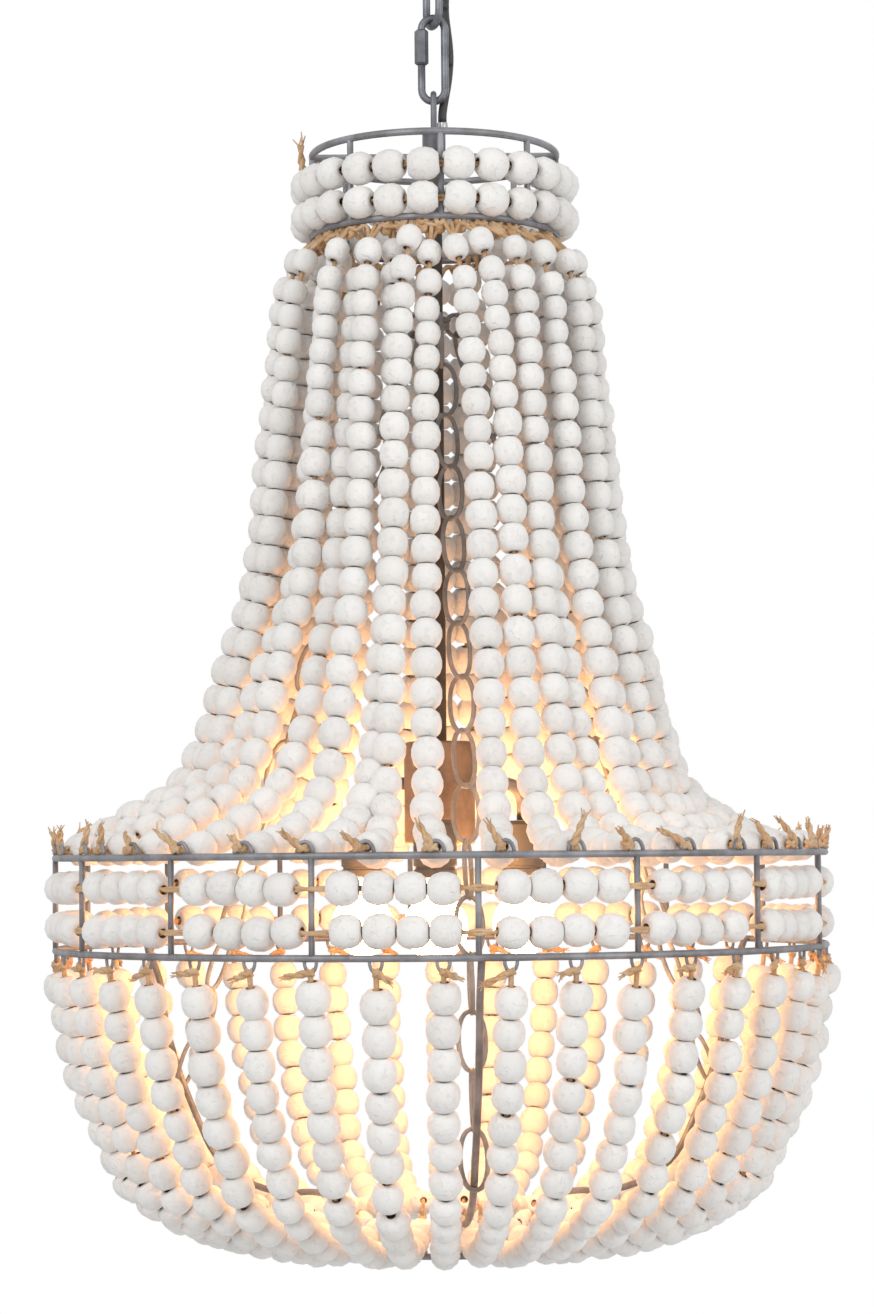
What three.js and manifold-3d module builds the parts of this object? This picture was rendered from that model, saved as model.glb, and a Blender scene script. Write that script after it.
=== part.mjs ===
// Beaded chandelier on a ceiling canopy, hung by a loop, one chain link and a quick link.
// Millimetres, +Z up. The origin is the middle of the canopy's ceiling face.
// Azimuths are in degrees: 0 is the front, towards -Y, and they grow towards +X.
import * as THREE from "three";
import { mergeVertices } from "three/addons/utils/BufferGeometryUtils.js";
import Module from "manifold-3d";

const wasm = await Module();
wasm.setup();

// Fits
const seat_gap = 0.3; // between two pieces that touch
const weld_depth = 1; // how far a welded end runs into what it is welded to
const cut_overrun = 1; // how far a cutting tool runs past a face
const weld_tolerance = 1e-3; // vertices nearer than this are one vertex

// Ceiling fitting
const bar_length = 84;
const bar_width = 20;
const bar_thickness = 3;
const screw_slot_length = 12;
const screw_slot_width = 5;
const screw_slot_inset = 8;
const nipple_diameter = 10;
const canopy_diameter = 110;
const canopy_height = 26;
const canopy_wall = 1.5;
const canopy_corner_radius = 14;
const loop_collar_diameter = 18;
const loop_collar_height = 10;
const loop_width = 16.5; // between wire centres
const loop_wire = 5;
const loop_azimuth = 25;
const gland_diameter = 10;
const gland_height = 9;
const gland_thread_diameter = 7;
const gland_thread_rise = 4; // above the canopy's inner face
const gland_offset_x = 8;
const gland_offset_y = 17;

// Links between the ceiling and the chandelier
const link_wire = 5;
const link_width = 19; // between wire centres
const link_length = 39.3; // between wire centres
const quick_wire = 5;
const quick_width = 15; // between wire centres
const quick_length = 54.3; // between wire centres
const sleeve_diameter = 9;
const sleeve_length = 23;
const sleeve_chamfer = 1.6;
const quick_mouth = 7; // the opening that the sleeve closes
const quick_mouth_inset = 3; // from the top of the straight leg to the mouth

// Stem
const eye_wire = 4;
const eye_width = 10.4; // between wire centres
const eye_height = 23.3; // from the collar to the centre of the top wire
const collar_diameter = 15;
const collar_height = 14.7;
const inlet_diameter = 7;
const inlet_height = 5;
const inlet_offset_x = 5.6;
const inlet_offset_y = 3.4;
const stem_diameter = 9.5;

// Crown
const crown_radius = 78.4; // to the wire's centre
const crown_wire = 4.6;
const crown_height = 53; // from its upper to its lower ring
const crown_post_wire = 4;
const crown_posts = 8;
const crown_post_azimuth = 3;
const crossbar_wire = 5;
const crown_hub_diameter = 17;
const crown_hub_height = 6;

// Band and basket
const shade_height = 395; // from the crown's lower ring to the band's upper ring
const band_radius = 243; // to the wire's centre
const band_wire = 4.2;
const band_height = 58; // from its upper to its lower ring
const band_post_wire = 3.6;
const band_posts = 16;
const band_post_azimuth = 5;
const basket_depth = 185; // from the band's lower ring to the bottom ring
const bottom_radius = 84;
const bottom_wire = 4;
const rib_wire = 4.4;
const rib_azimuths = [5.5, 121, 236.5];
const rib_foot_rise = 2.2; // from the bottom ring's centre line to the middle of the rib's slanted end

// Chains from the stem to the ribs
const chain_hub_drop = 108; // below the crown's upper ring
const chain_hub_diameter = 18;
const chain_hub_height = 7;
const hub_eye_width = 14; // between wire centres
const hub_eye_wire = 2.8;
const chain_wire = 3;
const chain_width = 16; // between wire centres
const chain_pitch = 35;
const chain_fuse = 0.5; // how far each link runs into the next
const hook_gap = 0.6; // between a chain's first link and its eye
const chain_hook_reach = 5.6; // from a rib's centre to the centre of the last link's end
const chain_foot_shares = [0.8, 0.52, 0.52]; // how deep on its rib each chain may end, of basket_depth

// Lamps
const canister_diameter = 45;
const canister_height = 66;
const canister_top_height = 72; // above the band's upper ring
const canister_edge = 3;
const lamp_circle_radius = 60;
const lamp_azimuth = -3;
const lamp_count = 3;
const arm_tube = 8;
const arm_height = 46; // above the band's upper ring
const arm_bend_radius = 14;
const arm_drop = 10; // straight stretch from the bend to the holder
const holder_diameter = 27;
const holder_height = 36;
const holder_bore = 15;
const holder_bore_depth = 25;
const holder_edge = 2.5;
const bulb_cap_diameter = 14;
const bulb_cap_length = 22;
const bulb_diameter = 40;
const bulb_length = 50; // the glass, below the holder
const bulb_shoulder_share = 0.6; // how far up the neck the round glass goes

// Beads
const string_diameter = 2.4;
const tie_diameter = 1.8; // from the jute string to the first bead
const jute_diameter = 3.2; // the string that runs along a ring
const crown_bead = 19.4;
const crown_bead_pitch = 20.2;
const crown_row_radius = 82.6;
const crown_beads_per_bay = 3;
const crown_row_drops = [21, 42.5]; // below the crown's upper ring
const band_bead = 19;
const band_bead_pitch = 19.4;
const band_row_radius = 238; // at the middle of a bay, where the straight row is nearest to the axis
const band_beads_per_bay = 4;
const band_row_drops = [18.5, 43.5]; // below the band's upper ring
const bead_end_diameter = 7;
const strand_count = 40;
const strands_per_group = 5;
const upper_strand_azimuth = -1.3;
const lower_strand_azimuth = 0.3;
const smallest_bead = 16;
const largest_bead = 20;
const strand_fill_share = 0.9; // a strand's tube against its beads
const jute_end_share = 0.3; // of a strand's step, left bare between two groups' jute strings
const strand_shoulder = 3; // from the bare string to the first bead's full width
const layer_depth = 18; // between the two layers of strands under the crown
const layer_rise = 13; // between the two layers of strands at the bottom ring

// Bead-centre line of an upper strand: shares of the way out from the crown to the band, of shade_height
// and of the strand's sideways shift
const shade_profile_shares = [
  [0.073, 0.948, 0.4], [0.119, 0.895, 0.6], [0.166, 0.701, 1], [0.208, 0.516, 1], [0.313, 0.332, 0.9],
  [0.423, 0.185, 0.6], [0.538, 0.104, 0.35], [0.66, 0.076, 0.15], [0.781, 0.041, 0], [0.9, 0.029, 0],
];
// Sideways shifts in degrees, by the strand's number. They leave the front chain in sight.
const strand_shifts = { 38: -0.8, 39: -1.8, 0: -2.6, 1: 5.7, 2: 6, 3: 6, 4: 5, 5: 4.2, 6: 3, 7: 1.5 };
const layered_until_share = 0.295; // the strands lie in one layer further out than this
// Bead-centre line of a lower strand: shares of the way out from the bottom ring to the band, and of
// basket_depth
const basket_profile_shares = [
  [0.981, 0.1], [0.95, 0.249], [0.89, 0.465], [0.786, 0.659], [0.667, 0.822],
  [0.491, 0.914], [0.296, 0.968], [0.149, 0.98], [0.039, 0.981],
];
const raised_until_share = 0.33; // the strands lie in one layer further out than this
// Line of a rib inside the lower strands, in the same shares
const rib_profile_shares = [
  [0.958, 0.02], [0.895, 0.14], [0.862, 0.292], [0.8, 0.449], [0.711, 0.605],
  [0.6, 0.757], [0.443, 0.838], [0.264, 0.87], [0.11, 0.862], [0.02, 0.88],
];

// Supply cable, from the gland to the inlet on the stem
const cable_diameter = 5.6;
// Each point is out to the right, back from the front, and up from the band's upper ring
const cable_points = [
  [8, 17, 584.7], [8, 17, 579], [8.1, 16.4, 573], [8.3, 14.8, 566], [8.1, 12.8, 558],
  [7.8, 11, 550], [8, 9.4, 542], [9, 8.2, 533], [10, 7.8, 524], [10.5, 7.8, 515],
  [10, 7.7, 506], [8.9, 7.1, 497], [7.3, 5.9, 488], [6, 4.4, 480], [5.6, 3.5, 475.5],
  [5.6, 3.4, 471.6],
];

// Facets
const wire_sides = 6;
const ring_sides = 5;
const thin_sides = 4;
const round_sides = 14;
const canopy_sides = 20;
const sleeve_sides = 10;
const holder_sides = 12;
const hole_sides = 12;
const corner_steps = 3; // along the canopy's rounded corner
const globe_steps = 5; // along a bulb's round glass
const round_arm_sides = 6;
const loop_steps = 12;
const link_end_steps = 6;
const crown_ring_steps = 24;
const band_ring_steps = 40;
const bottom_ring_steps = 20;
const rib_steps = 13;
const chain_end_steps = 2;
const chain_sides = 3;
const hub_eye_steps = 8;
const arm_bend_steps = 3;
const upper_strand_steps = 6;
const lower_strand_steps = 4;
const search_steps = 40; // places tried along each piece of a rib
const strand_sides = 4;
const row_sides = 4;
const cable_sides = 8;
const cable_steps = 22;

// Heights that follow from the sizes above. The ceiling face is at zero.
const loop_bottom = -canopy_height - loop_collar_height - loop_width;
const link_top = loop_bottom + (loop_wire + link_wire) / 2 + seat_gap;
const link_bottom = link_top - link_length;
const quick_top = link_bottom + (link_wire + quick_wire) / 2 + seat_gap;
const quick_bottom = quick_top - quick_length;
const eye_top = quick_bottom + (quick_wire + eye_wire) / 2 + seat_gap;
const collar_top = eye_top - eye_height;
const crown_level = collar_top - collar_height - seat_gap - crown_hub_height / 2;
const band_level = crown_level - crown_height - shade_height;
// Heights above the band's upper ring, which is the level that the chandelier is built from
const crown_top = crown_height + shade_height;
const band_bottom = -band_height;
const bottom_level = band_bottom - basket_depth;
const chain_hub_level = crown_top - chain_hub_drop;
const hub_eye_radius = chain_hub_diameter / 2 + hub_eye_width / 2 - weld_depth;
const arm_end = arm_height - arm_bend_radius - arm_drop;
const holder_top = arm_end - seat_gap;
const upper_tie_level = shade_height - (crown_wire + jute_diameter) / 2 - seat_gap;
const lower_tie_level = band_bottom - (band_wire + jute_diameter) / 2 - seat_gap;
const gland_mouth = -canopy_height - gland_height;
const nipple_bottom = -canopy_height + seat_gap;

const radians = THREE.MathUtils.degToRad;

const metal = { color: 0x77777e, roughness: 0.55, metalness: 0.6 };
const dark_plastic = { color: 0x3c3c3f, roughness: 0.6, metalness: 0 };
const white_wood = { color: 0xe4e1dc, roughness: 0.85, metalness: 0 };
const glass = { color: 0xfff1d8, roughness: 0.2, metalness: 0 };

// Closed geometry to solid and back, for joins and cuts.
function solid_of(geometry) {
  const bare = geometry.clone();
  bare.deleteAttribute("normal");
  bare.deleteAttribute("uv");
  const merged = mergeVertices(bare, weld_tolerance);
  return new wasm.Manifold(
    new wasm.Mesh({
      numProp: 3,
      vertProperties: merged.attributes.position.array,
      triVerts: new Uint32Array(merged.index.array),
    }),
  );
}

function geometry_of(solid) {
  const mesh = solid.getMesh();
  const geometry = new THREE.BufferGeometry();
  geometry.setAttribute("position", new THREE.BufferAttribute(mesh.vertProperties, mesh.numProp));
  geometry.setIndex(new THREE.BufferAttribute(mesh.triVerts, 1));
  geometry.computeVertexNormals();
  return geometry;
}

const join = (pieces) => geometry_of(pieces.map(solid_of).reduce((all, piece) => all.add(piece)));
const cut = (piece, tools) =>
  geometry_of(tools.map(solid_of).reduce((left, tool) => left.subtract(tool), solid_of(piece)));

// A closed skin round a path in one plane. A station is a point with the polygon's radius there.
function sweep(stations, normal, sides, closed = false) {
  const count = stations.length;
  const positions = [];
  stations.forEach(({ point, radius }, i) => {
    const before = closed ? (i - 1 + count) % count : Math.max(i - 1, 0);
    const after = closed ? (i + 1) % count : Math.min(i + 1, count - 1);
    const tangent = stations[after].point.clone().sub(stations[before].point).normalize();
    const side = tangent.cross(normal).normalize();
    for (let k = 0; k < sides; k++) {
      const angle = (k * 2 * Math.PI) / sides;
      const corner = point.clone();
      corner.addScaledVector(side, radius * Math.cos(angle));
      corner.addScaledVector(normal, radius * Math.sin(angle));
      positions.push(corner.x, corner.y, corner.z);
    }
  });
  const faces = [];
  for (let i = 0; i < (closed ? count : count - 1); i++)
    for (let k = 0; k < sides; k++) {
      const a = i * sides + k;
      const b = i * sides + ((k + 1) % sides);
      const c = ((i + 1) % count) * sides + k;
      const d = ((i + 1) % count) * sides + ((k + 1) % sides);
      faces.push(a, c, b, b, c, d);
    }
  const last = (count - 1) * sides;
  for (let k = 1; !closed && k < sides - 1; k++)
    faces.push(0, k, k + 1, last, last + k + 1, last + k);
  const geometry = new THREE.BufferGeometry();
  geometry.setAttribute("position", new THREE.Float32BufferAttribute(positions, 3));
  geometry.setIndex(faces);
  geometry.computeVertexNormals();
  return geometry;
}

const across = new THREE.Vector3(1, 0, 0);
const upward = new THREE.Vector3(0, 0, 1);
const outward = new THREE.Vector3(0, -1, 0);
const front_point = (radius, height) => new THREE.Vector3(0, -radius, height);
const hub_eye_centre = front_point(hub_eye_radius, chain_hub_level);
const wire = (points, diameter, sides, normal = across, closed = false) =>
  sweep(points.map((point) => ({ point, radius: diameter / 2 })), normal, sides, closed);

// A level ring of wire.
function ring(radius, height, diameter, steps, sides = ring_sides) {
  const points = Array.from({ length: steps }, (_, i) =>
    front_point(radius, height).applyAxisAngle(upward, (i * 2 * Math.PI) / steps),
  );
  return wire(points, diameter, sides, upward, true);
}

// The centre line of a long link in the front plane, centred on the origin: two round ends, which two
// straight legs join. Its first point is the top of the front leg's straight stretch.
function link_line(width, length, steps_per_end) {
  const points = [];
  const rise = (length - width) / 2;
  for (const end of [1, -1])
    for (let i = 0; i <= steps_per_end; i++) {
      const angle = (Math.PI * i) / steps_per_end;
      const out = (end * Math.cos(angle) * width) / 2;
      const height = end * (rise + (Math.sin(angle) * width) / 2);
      points.push(front_point(out, height));
    }
  return points;
}

const lathe = (profile, sides = round_sides) =>
  new THREE.LatheGeometry(profile.map(([r, z]) => new THREE.Vector2(r, z)), sides).rotateX(Math.PI / 2);

// A round rod on the Z axis.
const rod = (diameter, bottom, top, sides = round_sides) =>
  lathe([[0, bottom], [diameter / 2, bottom], [diameter / 2, top], [0, top]], sides);

function add(group, name, geometry, look) {
  const mesh = new THREE.Mesh(geometry, new THREE.MeshStandardMaterial(look));
  mesh.name = name;
  group.add(mesh);
  return mesh;
}

// A round ring of wire that stands in the front plane, centred on the origin.
function standing_ring(radius, diameter, steps, sides = wire_sides) {
  const points = Array.from({ length: steps }, (_, i) => {
    const angle = (2 * Math.PI * i) / steps;
    return front_point(radius * Math.cos(angle), radius * Math.sin(angle));
  });
  return wire(points, diameter, sides, across, true);
}

// Ceiling fitting: a bar screwed to the ceiling, a nipple on it, the canopy that hides both, the loop that
// holds the canopy up and the gland that the cable comes out of.
function ceiling_bar() {
  const middle = -bar_thickness / 2;
  const bar = new THREE.BoxGeometry(bar_length, bar_width, bar_thickness).translate(0, 0, middle);
  const slot_x = bar_length / 2 - screw_slot_inset - screw_slot_length / 2;
  const slot_depth = bar_thickness + 2 * cut_overrun;
  const slots = [-slot_x, slot_x].map((x) =>
    new THREE.BoxGeometry(screw_slot_length, screw_slot_width, slot_depth).translate(x, 0, middle),
  );
  return cut(bar, slots);
}

// The canopy is a round cup, open towards the ceiling, with a rounded lower corner.
function canopy() {
  const outer = canopy_diameter / 2;
  const bore = nipple_diameter / 2 + seat_gap;
  const corner = (radius) =>
    Array.from({ length: corner_steps + 1 }, (_, i) => {
      const angle = (Math.PI * i) / corner_steps / 2;
      return [
        outer - canopy_corner_radius + radius * Math.sin(angle),
        canopy_corner_radius - canopy_height - radius * Math.cos(angle),
      ];
    });
  const cup = lathe(
    [
      [bore, -canopy_height],
      ...corner(canopy_corner_radius),
      [outer, 0],
      [outer - canopy_wall, 0],
      ...corner(canopy_corner_radius - canopy_wall).reverse(),
      [bore, canopy_wall - canopy_height],
      [bore, -canopy_height],
    ],
    canopy_sides,
  );
  const hole = rod(gland_thread_diameter + 2 * seat_gap, -canopy_height - cut_overrun, 0, hole_sides);
  return cut(cup, [hole.translate(gland_offset_x, gland_offset_y, 0)]);
}

function canopy_loop() {
  const base_bottom = -canopy_height - loop_collar_height;
  const base = rod(loop_collar_diameter, base_bottom, -canopy_height - seat_gap);
  const loop = standing_ring(loop_width / 2, loop_wire, loop_steps);
  return join([base, loop.translate(0, 0, loop_bottom + loop_width / 2)]);
}

// The gland has a flange under the canopy and a thread through it, and the cable starts at its mouth.
function cable_gland() {
  const flange = rod(gland_diameter, gland_mouth, -canopy_height - seat_gap);
  const thread_top = canopy_wall - canopy_height + gland_thread_rise;
  const thread = rod(gland_thread_diameter, gland_mouth + weld_depth, thread_top);
  return join([flange, thread]);
}

// The quick link is one bent rod. Its open mouth lies inside the sleeve.
function quick_link() {
  const line = link_line(quick_width, quick_length, link_end_steps);
  const leg_top = (quick_length - quick_width) / 2;
  const mouth_top = leg_top - quick_mouth_inset;
  const out = quick_width / 2;
  const points = [front_point(out, mouth_top), ...line, front_point(out, mouth_top - quick_mouth)];
  return wire(points, quick_wire, wire_sides);
}

function link_sleeve() {
  const bore = quick_wire / 2 + seat_gap;
  const outer = sleeve_diameter / 2;
  const end = sleeve_length / 2;
  return lathe(
    [
      [bore, -end],
      [outer - sleeve_chamfer, -end],
      [outer, sleeve_chamfer - end],
      [outer, end - sleeve_chamfer],
      [outer - sleeve_chamfer, end],
      [bore, end],
      [bore, -end],
    ],
    sleeve_sides,
  );
}

// Stem: the eye is a narrow arch of wire whose two legs are welded into the collar.
function stem_eye() {
  const foot = collar_top - collar_height + weld_depth;
  const arch_level = eye_top - eye_width / 2;
  const arch = Array.from({ length: link_end_steps + 1 }, (_, i) => {
    const angle = (Math.PI * i) / link_end_steps;
    const rise = (Math.sin(angle) * eye_width) / 2;
    return front_point((Math.cos(angle) * eye_width) / 2, arch_level + rise);
  });
  const legs = [front_point(eye_width / 2, foot), ...arch, front_point(-eye_width / 2, foot)];
  const base = rod(collar_diameter, collar_top - collar_height, collar_top);
  return join([base, wire(legs, eye_wire, wire_sides)]);
}

function cable_inlet() {
  const bottom = collar_top + seat_gap;
  const mouth = bottom + inlet_height;
  return rod(inlet_diameter, bottom, mouth, sleeve_sides).translate(inlet_offset_x, inlet_offset_y, 0);
}

// Crown: two rings, the posts between them and a crossbar whose hub the stem goes through.
function crown_frame() {
  const upper = ring(crown_radius, crown_top, crown_wire, crown_ring_steps);
  const lower = ring(crown_radius, shade_height, crown_wire, crown_ring_steps);
  const posts = bay_posts(crown_posts, crown_post_azimuth, crown_radius, shade_height, crown_top,
    crown_post_wire);
  const bar_points = [front_point(-crown_radius, crown_top), front_point(crown_radius, crown_top)];
  const bar = wire(bar_points, crossbar_wire, wire_sides).rotateZ(Math.PI / 2);
  const hub_bottom = crown_top - crown_hub_height / 2;
  const hub = rod(crown_hub_diameter, hub_bottom, hub_bottom + crown_hub_height);
  return cut(join([upper, lower, ...posts, bar, hub]), [stem_bore(hub_bottom, crown_hub_height)]);
}

// What the stem's bore takes out of a hub.
const stem_bore = (hub_bottom, hub_height) =>
  rod(stem_diameter + 2 * seat_gap, hub_bottom - cut_overrun, hub_bottom + hub_height + cut_overrun);

function bay_posts(count, first_azimuth, radius, bottom, top, diameter) {
  return Array.from({ length: count }, (_, i) =>
    wire([front_point(radius, bottom), front_point(radius, top)], diameter, thin_sides).rotateZ(
      radians(first_azimuth + (i * 360) / count),
    ),
  );
}

// Band: two rings and the posts between them.
function band_frame() {
  const upper = ring(band_radius, 0, band_wire, band_ring_steps);
  const lower = ring(band_radius, band_bottom, band_wire, band_ring_steps);
  const posts = bay_posts(band_posts, band_post_azimuth, band_radius, band_bottom, 0, band_post_wire);
  return join([upper, lower, ...posts]);
}

const bottom_ring = () => ring(bottom_radius, bottom_level, bottom_wire, bottom_ring_steps);

// Profiles given in shares, as smooth lines in the front plane.
function smooth_line(points, steps) {
  return new THREE.CatmullRomCurve3(points, false, "centripetal").getSpacedPoints(steps);
}

const basket_point = ([out_share, depth_share]) =>
  front_point(
    bottom_radius + out_share * (band_radius - bottom_radius),
    band_bottom - depth_share * basket_depth,
  );

// A rib starts against the inside of the band's lower ring and ends on top of the bottom ring.
function rib_line() {
  const head_radius = band_radius - (band_wire + rib_wire) / 2 - seat_gap;
  const points = [front_point(head_radius, band_bottom)];
  points.push(...rib_profile_shares.map(basket_point));
  points.push(front_point(bottom_radius, bottom_level + rib_foot_rise));
  return smooth_line(points, rib_steps);
}

// The place on a rib's bent wire that is nearest to the given distance from a point.
function reached_point(line, from, distance) {
  let best = line[0];
  const miss = (point) => Math.abs(point.distanceTo(from) - distance);
  for (let i = 1; i < line.length; i++)
    for (let k = 0; k <= search_steps; k++) {
      const point = line[i - 1].clone().lerp(line[i], k / search_steps);
      if (miss(point) < miss(best)) best = point;
    }
  return best;
}

// The part of a rib that a chain may end on, and the most links that fit between the hub and its end.
function rib_above(foot_share) {
  const line = rib_line();
  const foot_height = band_bottom - foot_share * basket_depth;
  return line.slice(0, line.findIndex((point) => point.z < foot_height) + 1);
}
const links_to = (foot_share) =>
  Math.floor(rib_above(foot_share).at(-1).distanceTo(hub_eye_centre) / chain_pitch);

// A chain runs straight from an eye on the stem's hub to the place on the rib that its length reaches. Its
// links turn a quarter each, and each one runs a little into the next. The last one lies across the rib.
// An even count starts with a link along the radius, which needs a level eye, and an odd one a standing eye.
function chain(link_count, foot_share) {
  const line = rib_above(foot_share);
  const link_length = chain_pitch + chain_wire - chain_fuse;
  const length = (link_count - 1) * chain_pitch + link_length;
  const hooked = (hub_eye_wire + chain_wire) / 2 + hook_gap;
  const far = reached_point(line, hub_eye_centre, hub_eye_width / 2 + length - hooked - chain_hook_reach);
  const rough = far.clone().sub(hub_eye_centre).normalize();
  const level_eye = link_count % 2 === 0;
  const hook = hub_eye_centre.clone().addScaledVector(level_eye ? outward : rough, hub_eye_width / 2);
  const target = reached_point(line, hook, length - hooked - chain_hook_reach);
  const direction = target.clone().sub(hook).normalize();
  const first = hook.clone().addScaledVector(direction, -hooked);
  const tilt = Math.atan2(direction.y, -direction.z);
  return join(
    Array.from({ length: link_count }, (_, i) => {
      const link_points = link_line(chain_width, link_length, chain_end_steps);
      const link = wire(link_points, chain_wire, chain_sides, across, true);
      link.rotateZ((link_count - 1 - i) % 2 ? 0 : Math.PI / 2).rotateX(tilt);
      const centre = first.clone().addScaledVector(direction, link_length / 2 + i * chain_pitch);
      return link.translate(centre.x, centre.y, centre.z);
    }),
  );
}

function chain_hub() {
  const bottom = chain_hub_level - chain_hub_height / 2;
  const hub = rod(chain_hub_diameter, bottom, bottom + chain_hub_height);
  const eyes = rib_azimuths.map((azimuth, i) =>
    standing_ring(hub_eye_width / 2, hub_eye_wire, hub_eye_steps, thin_sides)
      .rotateY(chain_counts[i] % 2 ? 0 : Math.PI / 2)
      .translate(0, -hub_eye_radius, chain_hub_level)
      .rotateZ(radians(azimuth)),
  );
  return cut(join([hub, ...eyes]), [stem_bore(bottom, chain_hub_height)]);
}

// Lamps: a canister under the stem, three bent arms, three holders and three bulbs that point down.
function canister() {
  const outer = canister_diameter / 2;
  const bottom = canister_top_height - canister_height;
  return lathe([
    [0, bottom],
    [outer - canister_edge, bottom],
    [outer, bottom + canister_edge],
    [outer, canister_top_height - canister_edge],
    [outer - canister_edge, canister_top_height],
    [0, canister_top_height],
  ]);
}

function lamp_arm() {
  const start = canister_diameter / 2 + seat_gap;
  const centre_r = lamp_circle_radius - arm_bend_radius;
  const bend = Array.from({ length: arm_bend_steps + 1 }, (_, i) => {
    const angle = (Math.PI * i) / arm_bend_steps / 2;
    return front_point(
      centre_r + arm_bend_radius * Math.sin(angle),
      arm_height - arm_bend_radius * (1 - Math.cos(angle)),
    );
  });
  const points = [front_point(start, arm_height), ...bend, front_point(lamp_circle_radius, arm_end)];
  return wire(points, arm_tube, round_arm_sides);
}

function lamp_holder() {
  const top = holder_top;
  const bottom = top - holder_height;
  const outer = holder_diameter / 2;
  const bore = holder_bore / 2;
  const roof = bottom + holder_bore_depth;
  const profile = [
    [0, roof],
    [bore, roof],
    [bore, bottom],
    [outer, bottom],
    [outer, top - holder_edge],
    [outer - holder_edge, top],
    [0, top],
  ];
  return lathe(profile, holder_sides).translate(0, -lamp_circle_radius, 0);
}

// A round bulb with its cap up in the holder.
function bulb() {
  const neck = bulb_cap_diameter / 2;
  const shoulder = holder_top - holder_height - seat_gap;
  const radius = bulb_diameter / 2;
  const centre = shoulder - bulb_length + radius;
  const start = Math.acos(neck / radius);
  const globe = Array.from({ length: globe_steps + 1 }, (_, i) => {
    const angle = -Math.PI / 2 + ((start * bulb_shoulder_share + Math.PI / 2) * i) / globe_steps;
    return [Math.abs(radius * Math.cos(angle)), centre + radius * Math.sin(angle)];
  });
  globe[0][0] = 0;
  const cap_top = shoulder + bulb_cap_length;
  const profile = [...globe, [neck, shoulder], [neck, cap_top], [0, cap_top]];
  return lathe(profile, holder_sides).translate(0, -lamp_circle_radius, 0);
}

// A row of beads on one string, which passes outside each post. Each bead has its middle and two narrow ends.
function bead_row(row) {
  const stations = [];
  const station = (azimuth, radius, diameter) =>
    stations.push({
      point: front_point(radius, row.height).applyAxisAngle(upward, radians(azimuth)),
      radius: diameter / 2,
    });
  const bay = 360 / row.posts;
  const pitch = THREE.MathUtils.radToDeg(row.pitch / row.radius);
  for (let b = 0; b < row.posts; b++) {
    const post = row.first_post + b * bay;
    station(post, row.post_radius, string_diameter);
    for (let i = 0; i <= 2 * row.per_bay; i++) {
      const offset = (i / 2 - row.per_bay / 2) * pitch;
      const radius = row.straight ? row.radius / Math.cos(radians(offset)) : row.radius;
      station(post + bay / 2 + offset, radius, i % 2 ? row.bead : bead_end_diameter);
    }
  }
  return sweep(stations, upward, row_sides, true);
}

// Strands: each bead string is a tube as thick as its beads, and a thin string ties it to its ring. The
// strands of a group hang on one jute string that runs along the ring.
function strand(points, steps, first_diameter, last_diameter, tie) {
  const line = smooth_line(points, steps);
  const stations = line.map((point, i) => ({
    point,
    radius: (THREE.MathUtils.lerp(first_diameter, last_diameter, i / steps) * strand_fill_share) / 2,
  }));
  const top = line[0].clone().addScaledVector(line[0].clone().sub(line[1]).normalize(), strand_shoulder);
  stations.unshift({ point: tie, radius: tie_diameter / 2 }, { point: top, radius: tie_diameter / 2 });
  return sweep(stations, across, strand_sides);
}

const shade_point = ([out_share, height_share]) =>
  front_point(crown_radius + out_share * (band_radius - crown_radius), height_share * shade_height);

// Every other upper strand lies in an inner layer near the crown. The share of the layers' distance is one
// at the first bead and falls to zero where the layers meet.
function layer_share(out_share) {
  const first_share = shade_profile_shares[0][0];
  return Math.max(0, (layered_until_share - out_share) / (layered_until_share - first_share));
}

function upper_strand(number) {
  const tie = front_point(crown_radius, upper_tie_level);
  const inner = number % 2 === 0;
  const shift = radians(strand_shifts[number] ?? 0);
  const points = shade_profile_shares.map(([out_share, height_share, shift_share]) => {
    const point = shade_point([out_share, height_share]);
    point.y += inner ? layer_depth * layer_share(out_share) : 0;
    return point.applyAxisAngle(upward, shift * shift_share);
  });
  return strand(points, upper_strand_steps, smallest_bead, largest_bead, tie);
}

// Every other lower strand lies in a raised layer near the bottom ring.
function lower_strand(number) {
  const tie = front_point(band_radius, lower_tie_level);
  const raised = number % 2 === 1;
  const points = basket_profile_shares.map(([out_share, depth_share]) => {
    const point = basket_point([out_share, depth_share]);
    const nearness = Math.max(0, 1 - out_share / raised_until_share);
    point.z += raised ? layer_rise * nearness : 0;
    return point;
  });
  return strand(points, lower_strand_steps, largest_bead, smallest_bead, tie);
}

function strand_group(index, first_azimuth, tie_radius, tie_level, make_strand) {
  const step = 360 / strand_count;
  const first = index * strands_per_group;
  const azimuth_of = (i) => radians(first_azimuth + (first + i) * step);
  const strings = Array.from({ length: strands_per_group }, (_, i) =>
    make_strand(first + i).rotateZ(azimuth_of(i)),
  );
  // The jute string bends half way between two strands, so that each hangs from a straight stretch.
  const bend_radius = tie_radius / Math.cos(radians(step / 2));
  const run = Array.from({ length: strands_per_group + 1 }, (_, i) => {
    const inset_share = i === 0 ? jute_end_share : i === strands_per_group ? -jute_end_share : 0;
    const place = i - 1 / 2 + inset_share; // in steps between two strands
    return front_point(bend_radius, tie_level).applyAxisAngle(upward, azimuth_of(place));
  });
  return join([wire(run, jute_diameter, thin_sides, upward), ...strings]);
}

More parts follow.
